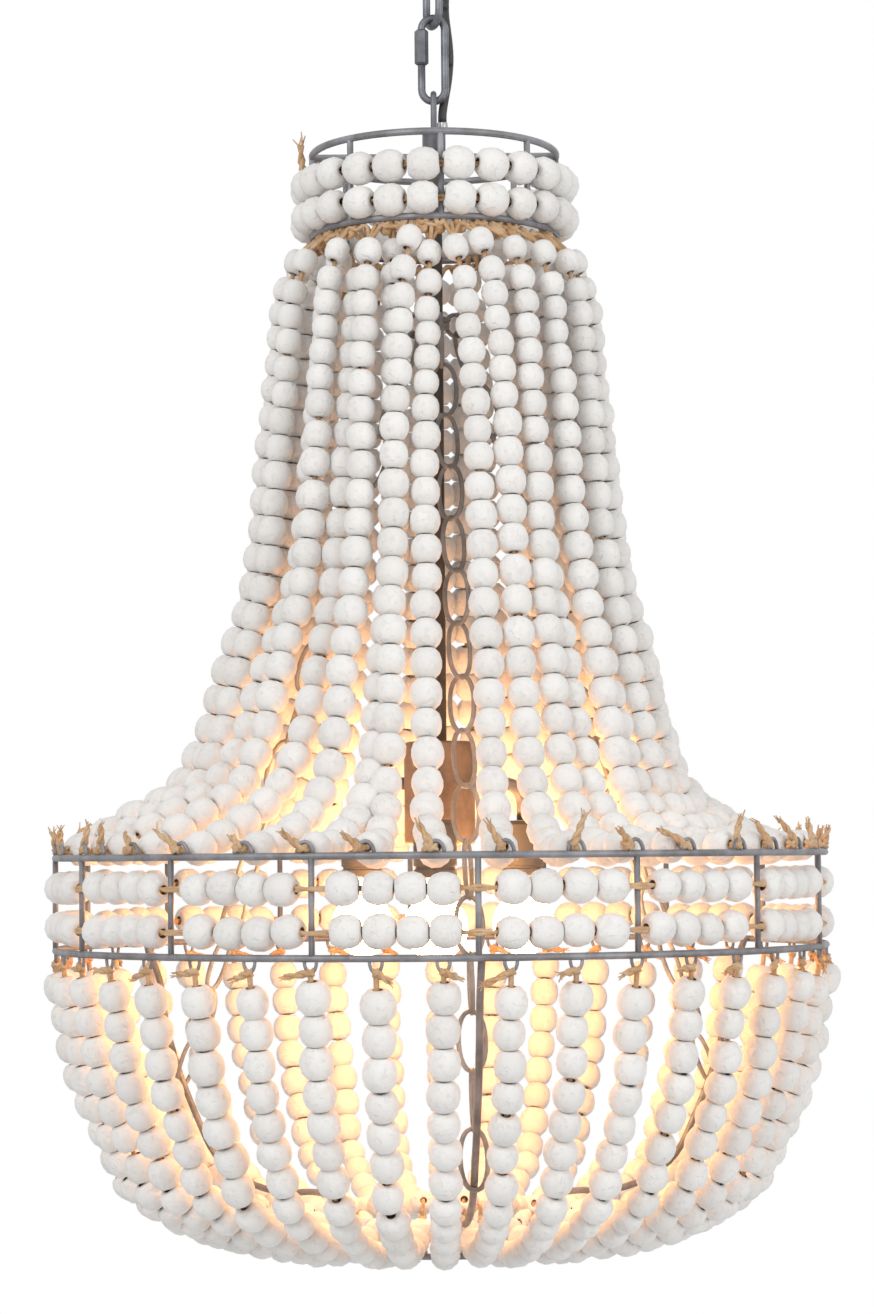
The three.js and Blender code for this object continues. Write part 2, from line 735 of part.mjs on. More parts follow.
function supply_cable() {
  const points = cable_points.map(([right, back, height]) => new THREE.Vector3(right, back, height));
  const section = new THREE.Shape();
  for (let i = 0; i < cable_sides; i++) {
    const angle = (2 * Math.PI * i) / cable_sides;
    const corner = [(Math.cos(angle) * cable_diameter) / 2, (Math.sin(angle) * cable_diameter) / 2];
    if (i) section.lineTo(...corner);
    else section.moveTo(...corner);
  }
  return new THREE.ExtrudeGeometry(section, {
    steps: cable_steps,
    extrudePath: new THREE.CatmullRomCurve3(points),
    bevelEnabled: false,
  });
}

// Assembly. The ceiling fitting is in the part's own frame, and each link and the chandelier in a group.
const part = new THREE.Group();
add(part, "ceiling_bar", ceiling_bar(), metal);
add(part, "ceiling_nipple", rod(nipple_diameter, nipple_bottom, -bar_thickness - seat_gap), metal);
add(part, "canopy", canopy(), metal);
add(part, "canopy_loop", canopy_loop(), metal).rotation.z = radians(loop_azimuth - 90);
add(part, "cable_gland", cable_gland().translate(gland_offset_x, gland_offset_y, 0), dark_plastic);

const hanging_link = add(
  part,
  "hanging_link",
  wire(link_line(link_width, link_length, link_end_steps), link_wire, wire_sides, across, true),
  metal,
);
hanging_link.position.z = (link_top + link_bottom) / 2;
hanging_link.rotation.z = radians(loop_azimuth);

const quick_group = new THREE.Group();
quick_group.position.z = (quick_top + quick_bottom) / 2;
quick_group.rotation.z = radians(-90);
part.add(quick_group);
add(quick_group, "quick_link", quick_link(), metal);
const sleeve = add(quick_group, "link_sleeve", link_sleeve(), metal);
sleeve.position.copy(front_point(quick_width / 2, (quick_length - quick_width - sleeve_length) / 2));

const chandelier = new THREE.Group();
chandelier.position.z = band_level;
part.add(chandelier);
add(chandelier, "stem_eye", stem_eye().translate(0, 0, -band_level), metal);
add(chandelier, "cable_inlet", cable_inlet().translate(0, 0, -band_level), metal);
const stem_bottom = canister_top_height + seat_gap;
add(chandelier, "stem_tube", rod(stem_diameter, stem_bottom, crown_top + crown_hub_height / 2), metal);
add(chandelier, "crown_frame", crown_frame(), metal);
add(chandelier, "band_frame", band_frame(), metal);
add(chandelier, "bottom_ring", bottom_ring(), metal);
const chain_counts = chain_foot_shares.map(links_to);
add(chandelier, "chain_hub", chain_hub(), metal);
add(chandelier, "canister", canister(), metal);
add(chandelier, "supply_cable", supply_cable(), dark_plastic);

rib_azimuths.forEach((azimuth, i) => {
  const side = new THREE.Group();
  side.rotation.z = radians(azimuth);
  chandelier.add(side);
  add(side, `rib_${i + 1}`, wire(rib_line(), rib_wire, wire_sides), metal);
  add(side, `chain_${i + 1}`, chain(chain_counts[i], chain_foot_shares[i]), metal);
});

for (let i = 0; i < lamp_count; i++) {
  const lamp = new THREE.Group();
  lamp.rotation.z = radians(lamp_azimuth + (i * 360) / lamp_count);
  chandelier.add(lamp);
  add(lamp, `lamp_arm_${i + 1}`, lamp_arm(), metal);
  add(lamp, `lamp_holder_${i + 1}`, lamp_holder(), dark_plastic);
  add(lamp, `bulb_${i + 1}`, bulb(), glass);
}

const crown_row = {
  posts: crown_posts,
  first_post: crown_post_azimuth,
  post_radius: crown_radius + (crown_post_wire + string_diameter) / 2 + seat_gap,
  per_bay: crown_beads_per_bay,
  bead: crown_bead,
  pitch: crown_bead_pitch,
  radius: crown_row_radius,
  straight: false,
};
const band_row = {
  posts: band_posts,
  first_post: band_post_azimuth,
  post_radius: band_radius + (band_post_wire + string_diameter) / 2 + seat_gap,
  per_bay: band_beads_per_bay,
  bead: band_bead,
  pitch: band_bead_pitch,
  radius: band_row_radius,
  straight: true,
};
["upper", "lower"].forEach((level, i) => {
  const crown_beads = bead_row({ ...crown_row, height: crown_top - crown_row_drops[i] });
  add(chandelier, `crown_beads_${level}`, crown_beads, white_wood);
  add(chandelier, `band_beads_${level}`, bead_row({ ...band_row, height: -band_row_drops[i] }), white_wood);
});

for (let i = 0; i < strand_count / strands_per_group; i++) {
  const upper = strand_group(i, upper_strand_azimuth, crown_radius, upper_tie_level, upper_strand);
  add(chandelier, `upper_strands_${i + 1}`, upper, white_wood);
  const lower = strand_group(i, lower_strand_azimuth, band_radius, lower_tie_level, lower_strand);
  add(chandelier, `lower_strands_${i + 1}`, lower, white_wood);
}

export default part;
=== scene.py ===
# %% [markdown]
# A beaded chandelier, dressed step by step
#
# The chandelier is a wire frame that carries strands of wooden beads: a crown at the top, a wide band below
# it, and a bowl of strands under the band. The frame is already modelled at its real size, so this lesson
# loads it first and then gives every piece its fine shape and its finish. All lengths are in metres.

import math
import random

import bmesh
import bpy
import numpy as np
from mathutils import Matrix, Vector


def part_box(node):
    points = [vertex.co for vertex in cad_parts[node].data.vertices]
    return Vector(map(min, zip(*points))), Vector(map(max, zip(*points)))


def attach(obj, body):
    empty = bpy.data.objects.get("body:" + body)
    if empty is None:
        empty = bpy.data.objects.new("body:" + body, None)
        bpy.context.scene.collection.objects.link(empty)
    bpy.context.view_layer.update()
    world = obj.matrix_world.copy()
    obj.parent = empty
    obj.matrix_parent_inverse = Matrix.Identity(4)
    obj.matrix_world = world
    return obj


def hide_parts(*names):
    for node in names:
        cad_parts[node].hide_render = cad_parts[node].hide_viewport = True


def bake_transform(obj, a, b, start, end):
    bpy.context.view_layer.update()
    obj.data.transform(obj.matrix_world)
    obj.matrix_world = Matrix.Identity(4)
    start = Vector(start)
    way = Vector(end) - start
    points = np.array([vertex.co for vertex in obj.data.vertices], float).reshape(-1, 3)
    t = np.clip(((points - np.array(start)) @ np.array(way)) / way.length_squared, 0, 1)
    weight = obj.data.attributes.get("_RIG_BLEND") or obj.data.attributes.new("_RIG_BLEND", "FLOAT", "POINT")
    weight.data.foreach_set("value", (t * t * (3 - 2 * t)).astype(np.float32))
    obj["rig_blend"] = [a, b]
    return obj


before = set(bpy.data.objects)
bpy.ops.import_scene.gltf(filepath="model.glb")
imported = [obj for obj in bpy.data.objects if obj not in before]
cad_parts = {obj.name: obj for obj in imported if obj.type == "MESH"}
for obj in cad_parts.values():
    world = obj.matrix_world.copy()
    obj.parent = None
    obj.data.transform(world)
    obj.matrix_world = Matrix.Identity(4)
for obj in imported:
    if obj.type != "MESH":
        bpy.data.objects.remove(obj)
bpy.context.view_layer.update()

# %% [markdown]
# Sizes come from the frame where it knows them. The band's upper ring is the level that everything on the
# chandelier is measured from, and an azimuth of zero is the front, towards -Y, growing towards +X.

# %% Levels and radii
mm = 0.001
crown_wire = 4.6 * mm
band_wire = 4.2 * mm
bottom_wire = 4 * mm
crown_low, crown_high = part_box("crown_frame")
band_low, band_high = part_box("band_frame")
ring_low, ring_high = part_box("bottom_ring")
band_level = band_high.z - band_wire / 2
band_bottom = band_low.z + band_wire / 2
band_radius = band_high.y - band_wire / 2
crown_lower = crown_low.z + crown_wire / 2
crown_upper = crown_lower + 53 * mm
crown_radius = crown_high.y - crown_wire / 2
bottom_level = (ring_low.z + ring_high.z) / 2
bottom_radius = ring_high.y - bottom_wire / 2
shade_height = crown_lower - band_level
basket_depth = band_bottom - bottom_level
print("band", band_level, band_radius, "crown", crown_lower, crown_radius, "bottom", bottom_level, bottom_radius)


def at(radius, height, azimuth=0.0):
    """The point at that radius and height, at an azimuth in degrees."""
    turn = math.radians(azimuth)
    return Vector((radius * math.sin(turn), -radius * math.cos(turn), height))


def sideways(azimuth):
    """The level direction along a ring at an azimuth."""
    turn = math.radians(azimuth)
    return Vector((math.cos(turn), math.sin(turn), 0))


def turned(degrees, axis="Z"):
    return Matrix.Rotation(math.radians(degrees), 4, axis)


def mix(low, high, share):
    return low + (high - low) * share


def clamped(share):
    return max(0.0, min(1.0, share))

# %% [markdown]
# The camera stands level with the band, two metres in front, and looks up a little, as the photograph does:
# the band's upper ring is seen as a flat line there. The frame leans by half a degree, which is the camera's
# roll and not the chandelier's.

# %% Camera
camera_distance = 2.11
camera_offset = -0.9 * mm
camera_pitch, camera_roll = 3.42, -0.5
sensor_height, lens = 36, 90.8


def add_object(name, data):
    """Puts a new object into the scene."""
    thing = bpy.data.objects.new(name, data)
    bpy.context.scene.collection.objects.link(thing)
    return thing


camera_data = bpy.data.cameras.new("camera")
camera_data.sensor_fit = "VERTICAL"
camera_data.sensor_height = sensor_height
camera_data.lens = lens
camera = add_object("camera", camera_data)
camera.location = (camera_offset, -camera_distance, band_level)
upright = turned(90 + camera_pitch, "X")
camera.matrix_world = Matrix.Translation(camera.location) @ upright @ turned(camera_roll)
bpy.context.scene.camera = camera
bpy.context.scene.view_settings.view_transform = "Standard"
print("camera", tuple(camera.location))

# %% [markdown]
# Every finish is a node material. Writing shader sums as Python expressions keeps them readable, so one
# small class wraps a socket and turns + - * into Math nodes. A second class owns the material and makes any
# other node with a single method.

# %% Shader helpers
class Signal:
    """The output of a node, which can take part in sums."""

    def __init__(self, finish, socket):
        self.finish, self.socket = finish, socket

    def sum_with(self, operation, first, second):
        return self.finish.node("Math", {"operation": operation}, {0: first, 1: second})

    def __add__(self, other):
        return self.sum_with("ADD", self, other)

    def __sub__(self, other):
        return self.sum_with("SUBTRACT", self, other)

    def __rsub__(self, other):
        return self.sum_with("SUBTRACT", other, self)

    def __mul__(self, other):
        return self.sum_with("MULTIPLY", self, other)

    __radd__ = __add__
    __rmul__ = __mul__


class Finish:
    """A material, or the world, that is built up node by node."""

    def __init__(self, owner):
        owner.use_nodes = True
        self.owner = owner
        self.tree = owner.node_tree

    def node(self, kind, settings=None, inputs=None, output=0):
        node = self.tree.nodes.new("ShaderNode" + kind)
        for key, value in (settings or {}).items():
            setattr(node, key, value)
        for key, value in (inputs or {}).items():
            self.plug(node.inputs[key], value)
        return Signal(self, node.outputs[output])

    def plug(self, socket, value):
        if isinstance(value, Signal):
            self.tree.links.new(value.socket, socket)
        else:
            socket.default_value = value

    def set(self, **values):
        """Plugs values into the shader's own sockets. An underscore stands for a space in a socket's name."""
        for name, value in values.items():
            self.plug(self.shader.inputs[name.replace("_", " ")], value)

    def colour_mix(self, share, first, second):
        return self.node("Mix", {"data_type": "RGBA"}, {0: share, 6: first, 7: second}, output=2)

    def between(self, value, low, high):
        """Runs from 0 to 1 as the value runs from low to high."""
        return self.node("MapRange", {}, {"Value": value, "From Min": low, "From Max": high})

    def noise(self, scale, detail=2.0, roughness=0.5, distortion=0.0):
        place = self.node("TexCoord", output="Object")
        numbers = {"Vector": place, "Scale": scale, "Detail": detail, "Roughness": roughness,
                   "Distortion": distortion}
        return self.node("TexNoise", {}, numbers)

    def attribute(self, name):
        return self.node("Attribute", {"attribute_name": name}, output="Fac")


def new_finish(name, **constants):
    finish = Finish(bpy.data.materials.new(name))
    finish.shader = finish.tree.nodes["Principled BSDF"]
    finish.set(**constants)
    return finish


def bump(finish, height, distance, strength=1.0):
    finish.set(Normal=finish.node("Bump", {}, {"Strength": strength, "Distance": distance, "Height": height}))

# %% [markdown]
# The beads are turned wood under a chalky whitewash. Up close each one has its own tone, faint grey smudges
# where the wash is thin, a grain that swirls round the hole, and small dents. The tone comes from a number
# that is stored on each bead, so that neighbours differ, and the rest is noise in the object's own space.

# %% Whitewashed wood
chalk = (0.84, 0.825, 0.805, 1)
thin_wash = (0.66, 0.635, 0.61, 1)
bare_wood = (0.52, 0.40, 0.29, 1)
bore_painted_shade = (0.15, 0.085, 0.05, 1)


def whitewashed_wood():
    wood = new_finish("whitewashed_wood", Specular_IOR_Level=0.25)
    tone = wood.attribute("tone")
    smudge = wood.between(wood.noise(120, 4, 0.62, 0.6), 0.52, 0.72)
    grain = wood.noise(520, 3, 0.6, 2.5)
    worn = wood.between(wood.noise(210, 2, 0.5), 0.64, 0.74)
    colour = wood.colour_mix(tone * 0.34, chalk, thin_wash)
    colour = wood.colour_mix(smudge * 0.5, colour, thin_wash)
    colour = wood.colour_mix(wood.between(grain, 0.5, 0.8) * 0.3, colour, thin_wash)
    colour = wood.colour_mix(worn * 0.2, colour, bare_wood)
    # Painted shade: inside the bore the wash gives way to bare wood, which is painted much darker as the shade in the
    # hole
    colour = wood.colour_mix(wood.between(wood.attribute("bore"), 0.87, 0.98), colour, bore_painted_shade)
    wood.set(Base_Color=colour, Roughness=0.92 - smudge * 0.16)
    dents = wood.between(wood.noise(260, 2, 0.5), 0.30, 0.42)
    bump(wood, dents * 0.7 + grain * 0.3, 0.5 * mm)
    return wood.owner


wood = whitewashed_wood()
print("made", wood.name)

# %% [markdown]
# The frame, the chains and the links are wire with a matt grey coat that leans to blue. Powder coat is a
# little uneven, and it rubs through to a lighter grey here and there. The stem is painted darker and browner,
# as painted shade tinted by the bulbs' warm light, and the canister warm brown, as the bulbs' painted glow. The
# chains are painted lighter, as painted light, and the links darker, so one function mixes every coat from its own
# three tones.

# %% Coated wire
def coated_wire(name, base, light, dark, metallic, roughness):
    coat = new_finish(name, Metallic=metallic)
    cloud = coat.noise(60, 3, 0.6)
    rubbed = coat.between(coat.noise(340, 3, 0.65), 0.60, 0.72)
    colour = coat.colour_mix(coat.between(cloud, 0.35, 0.65), dark, base)
    colour = coat.colour_mix(rubbed * 0.55, colour, light)
    coat.set(Base_Color=colour, Roughness=roughness + rubbed * 0.12 - cloud * 0.1)
    bump(coat, coat.noise(1500, 2, 0.5), 0.06 * mm, 0.5)
    return coat.owner


# Each coat's colour, its rubbed and its dark places, how metallic it is and its roughness. The stem's, the canister's
# and the chains' colours hold painted shade and light
wire_coat = coated_wire(
    "coated_wire", (0.28, 0.28, 0.30, 1), (0.36, 0.36, 0.38, 1), (0.16, 0.157, 0.165, 1), 0.35, 0.55)
link_steel = coated_wire(
    "link_steel", (0.205, 0.213, 0.24, 1), (0.35, 0.355, 0.38, 1), (0.11, 0.112, 0.125, 1), 0.55, 0.5)
eye_coat = coated_wire(
    "eye_coat", (0.165, 0.168, 0.185, 1), (0.28, 0.283, 0.30, 1), (0.09, 0.091, 0.10, 1), 0.5, 0.55)
# Painted shade: the stem's dark brown stands for the shade it hangs in, warmed by the bulbs' light
stem_painted_shade_coat = coated_wire(
    "stem_painted_shade_coat", (0.10, 0.085, 0.075, 1), (0.15, 0.125, 0.11, 1), (0.065, 0.055, 0.05, 1), 0.3, 0.6)
# Painted light: the canister's warm brown stands for the bulbs' glow falling on it
canister_painted_glow_coat = coated_wire("canister_painted_glow_coat", (0.30, 0.225, 0.17, 1), (0.38, 0.29, 0.22, 1), (0.18, 0.13, 0.10, 1), 0.35, 0.55)
# Painted light: the chains are a lighter grey than the frame's wire, as if lit from the front
chain_painted_light_coat = coated_wire(
    "chain_painted_light_coat", (0.36, 0.355, 0.36, 1), (0.44, 0.435, 0.44, 1), (0.23, 0.225, 0.225, 1), 0.35, 0.55)
bare_steel = coated_wire("bare_steel", (0.45, 0.45, 0.47, 1), (0.62, 0.62, 0.63, 1), (0.36, 0.36, 0.38, 1), 0.9, 0.38)
print("made", [m.name for m in (wire_coat, link_steel, eye_coat, stem_painted_shade_coat, canister_painted_glow_coat, chain_painted_light_coat, bare_steel)])

# %% [markdown]
# The string is jute: coarse golden fibres of uneven tone, with their darkest tone set in the hollows between them
# as painted shade, and lighter patches in a painted highlight tone. A stretched fibre pattern would need
# coordinates along each string, and at this size a fine noise with a strong bump reads the same.

# %% Jute, plastics and bulb glass
def jute_string():
    jute = new_finish("jute_string", Roughness=0.95, Specular_IOR_Level=0.1)
    fibre = jute.noise(900, 4, 0.7, 1.5)
    painted_highlight_patch = jute.noise(90, 2, 0.5)
    # Painted shade: the fibre noise that raises the bump also darkens its hollows
    colour = jute.colour_mix(jute.between(fibre, 0.3, 0.7), (0.40, 0.225, 0.11, 1), (0.79, 0.52, 0.30, 1))
    # Painted highlight: patches in the tone of brightly lit jute
    colour = jute.colour_mix(jute.between(painted_highlight_patch, 0.4, 0.7) * 0.5, colour, (0.87, 0.68, 0.47, 1))
    jute.set(Base_Color=colour)
    bump(jute, fibre, 0.6 * mm)
    return jute.owner


def moulded_plastic(name, base, roughness):
    plastic = new_finish(name)
    cloud = plastic.noise(45, 3, 0.6)
    lighter = tuple(min(1, c * 1.5 + 0.01) for c in base[:3]) + (1,)
    plastic.set(Base_Color=plastic.colour_mix(cloud * 0.6, base, lighter), Roughness=roughness + cloud * 0.12)
    bump(plastic, plastic.noise(1800, 2, 0.5), 0.04 * mm, 0.4)
    return plastic.owner


def lit_glass(strength):
    """Warm frosted glass, lit from within."""
    glass = new_finish("lit_glass", Roughness=0.25, Base_Color=(1, 0.86, 0.66, 1), Emission_Strength=strength)
    glass.set(Emission_Color=glass.colour_mix(glass.noise(40, 1, 0.4), (1.0, 0.43, 0.13, 1), (1.0, 0.51, 0.20, 1)))
    return glass.owner


jute = jute_string()
cable_sheath = moulded_plastic("cable_sheath", (0.030, 0.030, 0.032, 1), 0.46)
holder_plastic = moulded_plastic("holder_plastic", (0.10, 0.096, 0.092, 1), 0.5)
glass = lit_glass(strength=56)
print("made", jute.name, cable_sheath.name, holder_plastic.name, glass.name)

# %% [markdown]
# Most pieces are wire: a round section that follows a path. A section is made once as a circle, and every
# next station is an edge extrusion that is moved to its place, so the whole wire is one skin. A ring is
# simpler still: the same circle, spun once round the axis.

# %% Wire helpers
def section_frames(points, closed):
    """One turn-free frame at each point: its Z axis runs along the path."""
    count = len(points)
    frames = []
    side = None
    for i, point in enumerate(points):
        before = points[i - 1] if i or closed else point
        after = points[(i + 1) % count] if i + 1 < count or closed else point
        along = (after - before).normalized()
        if side is None:
            side = along.orthogonal().normalized()
        side = (side - along * side.dot(along)).normalized()
        turn = Matrix((side, along.cross(side), along)).transposed().to_4x4()
        frames.append(Matrix.Translation(point) @ turn)
    return frames


def take_in(bm, small):
    """Moves a small bmesh into a large one. Operators slow down as a bmesh grows, so wires are made apart."""
    shelf = bpy.data.meshes.new("shelf")
    small.to_mesh(shelf)
    small.free()
    bm.from_mesh(shelf)
    bpy.data.meshes.remove(shelf)


def add_wire(whole, points, radius, sides=8, closed=False, end_radius=None):
    """Sweeps a circle along the points. An end radius makes the wire taper."""
    bm = bmesh.new()
    last = len(points) - 1
    radii = [mix(radius, end_radius, i / last) if end_radius else radius for i in range(last + 1)]
    places = [f @ Matrix.Scale(r, 4) for f, r in zip(section_frames(points, closed), radii)]
    start = bmesh.ops.create_circle(bm, cap_ends=not closed, segments=sides, radius=1, matrix=places[0])
    first = list({e for v in start["verts"] for e in v.link_edges})
    edges = first
    for previous, place in zip(places, places[1:]):
        grown = bmesh.ops.extrude_edge_only(bm, edges=edges)["geom"]
        moved = [g for g in grown if isinstance(g, bmesh.types.BMVert)]
        edges = [e for e in grown if isinstance(e, bmesh.types.BMEdge) and all(v in moved for v in e.verts)]
        bmesh.ops.transform(bm, matrix=place @ previous.inverted(), verts=moved)
    if closed:
        bmesh.ops.bridge_loops(bm, edges=first + edges)
    else:
        bmesh.ops.contextual_create(bm, geom=edges)
    take_in(whole, bm)

# %% Helpers for what is turned on a lathe
def full_turn(bm, geom, steps):
    """Spins a section once round the Z axis."""
    bmesh.ops.spin(bm, geom=geom, cent=(0, 0, 0), axis=(0, 0, 1), angle=2 * math.pi, steps=steps, use_merge=True)


def add_ring(bm, radius, height, wire, steps=96, sides=10):
    """A level ring of round wire about the Z axis."""
    place = Matrix.Translation((radius, 0, height)) @ turned(90, "X")
    start = bmesh.ops.create_circle(bm, segments=sides, radius=wire / 2, matrix=place)
    geom = start["verts"] + list({e for v in start["verts"] for e in v.link_edges})
    full_turn(bm, geom, steps)


def add_lathe(bm, profile, steps=32, matrix=Matrix.Identity(4)):
    """Spins a profile of (radius, height) round the Z axis, then moves it. A profile starts and ends on the
    axis, or ends where it starts."""
    before = set(bm.verts)
    closed = profile[0] == profile[-1]
    verts = [bm.verts.new((r, 0, z)) for r, z in (profile[:-1] if closed else profile)]
    edges = [bm.edges.new(pair) for pair in zip(verts, verts[1:] + (verts[:1] if closed else []))]
    full_turn(bm, verts + edges, steps)
    made = [v for v in bm.verts if v not in before]
    bmesh.ops.remove_doubles(bm, verts=made, dist=1e-6)
    made = [v for v in bm.verts if v not in before]
    bmesh.ops.transform(bm, matrix=matrix, verts=made)

# %% Outlines
def angles(end, steps):
    """Evenly spaced angles from zero to the end."""
    return [end * i / steps for i in range(steps + 1)]


def circle_points(centre, first, second, radius, steps):
    """A circle in the plane of two directions, which starts in the first and isn't closed."""
    return [centre + (first * math.cos(t) + second * math.sin(t)) * radius for t in angles(2 * math.pi, steps)[:-1]]


def rounded(radius, bottom, top, edge, steps=3):
    """The profile of a round rod whose two rims are rounded."""
    arc = angles(math.pi / 2, steps)
    low = [(radius - edge + edge * math.sin(a), bottom + edge - edge * math.cos(a)) for a in arc]
    high = [(radius - edge + edge * math.cos(a), top - edge + edge * math.sin(a)) for a in arc]
    return [(0, bottom), *low, *high, (0, top)]


def chamfered(bore, radius, bottom, top, inset, drop):
    """The closed profile of a sleeve with a bore and chamfered rims."""
    return [(bore, bottom), (radius - inset, bottom), (radius, bottom + drop), (radius, top - drop),
            (radius - inset, top), (bore, top), (bore, bottom)]


def smooth_points(points, per_span=6):
    """A smooth line through the points, by the Catmull-Rom formula."""
    line = []
    padded = [points[0] * 2 - points[1], *points, points[-1] * 2 - points[-2]]
    for a, b, c, d in zip(padded, padded[1:], padded[2:], padded[3:]):
        for step in range(per_span):
            t = step / per_span
            line.append(
                0.5 * (2 * b + (c - a) * t + (2 * a - 5 * b + 4 * c - d) * t**2 + (3 * b - a - 3 * c + d) * t**3))
    return [*line, points[-1]]

# %% From a bmesh to a finished piece
def finish_piece(name, bm, material, body, replaced=(), mend_normals=True):
    """Turns a bmesh into a piece that rides on a body."""
    if mend_normals:
        bmesh.ops.recalc_face_normals(bm, faces=bm.faces[:])
    mesh = bpy.data.meshes.new(name)
    bm.to_mesh(mesh)
    bm.free()
    mesh.shade_smooth()
    mesh.materials.append(material)
    piece = add_object(name, mesh)
    if body:
        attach(piece, body)
    if replaced:
        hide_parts(*replaced)
    print(name, len(mesh.polygons), "faces")
    return piece


def hard_piece(name, bm, node, material=wire_coat, body="chandelier", sharp=None):
    """A piece of metal or plastic. Edges that turn by more than the sharp angle stay sharp in its shading."""
    piece = finish_piece(name, bm, material, body, [node])
    if sharp:
        piece.data.set_sharp_from_angle(angle=math.radians(sharp))


def bead_piece(name, bm, node):
    finish_piece(name, bm, wood, "chandelier", [node], mend_normals=False)

# %% [markdown]
# One bead is a short drum with rounded shoulders and a bore. Its profile is drawn and spun, once.
# Every strand then takes copies of it, each turned, scaled a little unevenly and given its own tone. There
# are more than 1,700 beads, so the bead has few faces and smooth shading does the rest.

# %% One bead
bead_shares = [(0.22, 0.60), (0.27, 0.94), (0.60, 0.905), (0.88, 0.61), (1.01, 0.21)]
bead_sides = 12
bead_length_share = 0.95


def bead_bmesh():
    bm = bmesh.new()
    for layer in ("bore", "tone"):
        bm.verts.layers.float.new(layer)
    return bm


def bead_mesh():
    bm = bead_bmesh()
    bore = bm.verts.layers.float["bore"]
    outline = bead_shares + [(r, -z) for r, z in reversed(bead_shares)]
    verts = [bm.verts.new((r, 0, z)) for r, z in outline]
    edges = [bm.edges.new((a, b)) for a, b in zip(verts, verts[1:] + verts[:1])]
    full_turn(bm, verts + edges, bead_sides)
    for vert in bm.verts:
        vert[bore] = 1.0 if math.hypot(vert.co.x, vert.co.y) < 0.3 else 0.0
    bmesh.ops.recalc_face_normals(bm, faces=bm.faces[:])
    mesh = bpy.data.meshes.new("bead")
    bm.to_mesh(mesh)
    bm.free()
    return mesh


bead = bead_mesh()
print("one bead:", len(bead.polygons), "faces")


def add_bead(bm, centre, along, diameter, chance):
    """Adds a bead with its bore along a direction."""
    count = len(bm.verts)
    bm.from_mesh(bead)
    bm.verts.ensure_lookup_table()
    new = bm.verts[count:]
    turn = along.to_track_quat("Z", "Y").to_matrix().to_4x4()
    spin = Matrix.Rotation(chance.uniform(0, 2 * math.pi), 4, "Z")
    uneven = Matrix.Diagonal([chance.uniform(*span) for span in ((0.96, 1.02), (0.96, 1.02), (0.97, 1.01))] + [1])
    lean = Matrix.Rotation(chance.gauss(0, 0.05), 4, "X")
    size = Matrix.Scale(diameter / 2, 4)
    bmesh.ops.transform(bm, matrix=Matrix.Translation(centre) @ turn @ lean @ spin @ uneven @ size, verts=new)
    layer = bm.verts.layers.float["tone"]
    tone = chance.random() ** 1.6
    for vert in new:
        vert[layer] = tone


class Line:
    """A smooth line that is read by the length along it."""

    def __init__(self, points):
        self.points = points
        steps = [(b - a).length for a, b in zip(points, points[1:])]
        self.marks = [0.0]
        for step in steps:
            self.marks.append(self.marks[-1] + step)
        self.length = self.marks[-1]

    def at(self, distance):
        """The point and the direction at a length along the line, which may run past both ends."""
        i = min(max(np.searchsorted(self.marks, distance) - 1, 0), len(self.points) - 2)
        along = (self.points[i + 1] - self.points[i]).normalized()
        return self.points[i] + along * (distance - self.marks[i]), along

# %% [markdown]
# A strand is beads on a string, and real strands are never quite even: beads differ by half a millimetre,
# a few sit loose with string showing, and each strand sways a little between its two ties. The line that a
# strand follows was measured from the photograph as shares of the frame, so it always fits the frame. Under
# the crown there is no room for 40 beads side by side, and nearly every other strand lies in an inner layer.

# %% Strand lines
strand_count, strands_per_group = 40, 5
strand_step = 360 / strand_count
string_radius = 1.5 * mm
upper_azimuth, lower_azimuth = -1.3, 0.3
small_bead, large_bead = 16.2 * mm, 20 * mm
# Bead sizes along a strand: the share of its length, and the diameter
upper_sizes = ([0, 0.16, 0.3, 0.45, 1], [small_bead, 16.8 * mm, 18.8 * mm, 19.8 * mm, large_bead])
lower_sizes = ([0, 0.5, 1], [large_bead, 19.4 * mm, small_bead])
layer_rise = 13 * mm
shade_shares = [
    (0.073, 0.948), (0.119, 0.895), (0.143, 0.797), (0.166, 0.701), (0.186, 0.605), (0.208, 0.516), (0.251, 0.41),
    (0.313, 0.332), (0.368, 0.266), (0.423, 0.185), (0.538, 0.104), (0.66, 0.076), (0.781, 0.045), (0.85, 0.029),
    (0.905, 0.014),
]
# The last points of the same line where the strands hang slack: they drop steeply and then lie level
slack_shares = [
    (0.305, 0.332), (0.345, 0.25), (0.392, 0.165), (0.45, 0.095), (0.56, 0.04), (0.73, 0.008), (0.85, 0.008),
    (0.905, 0.01),
]
slack_middle, slack_reach, tautening_reach = 4, 5, 4
layered_until_share = 0.55
basket_shares = [
    (0.981, 0.135), (0.95, 0.249), (0.931, 0.362), (0.89, 0.465), (0.843, 0.557), (0.786, 0.659), (0.742, 0.751),
    (0.667, 0.822), (0.579, 0.87), (0.491, 0.914), (0.39, 0.946), (0.296, 0.968), (0.189, 0.978), (0.088, 0.981),
    (0.038, 0.981),
]
raised_until_share = 0.33
shift_shares = [0.073, 0.18, 0.31, 0.85]
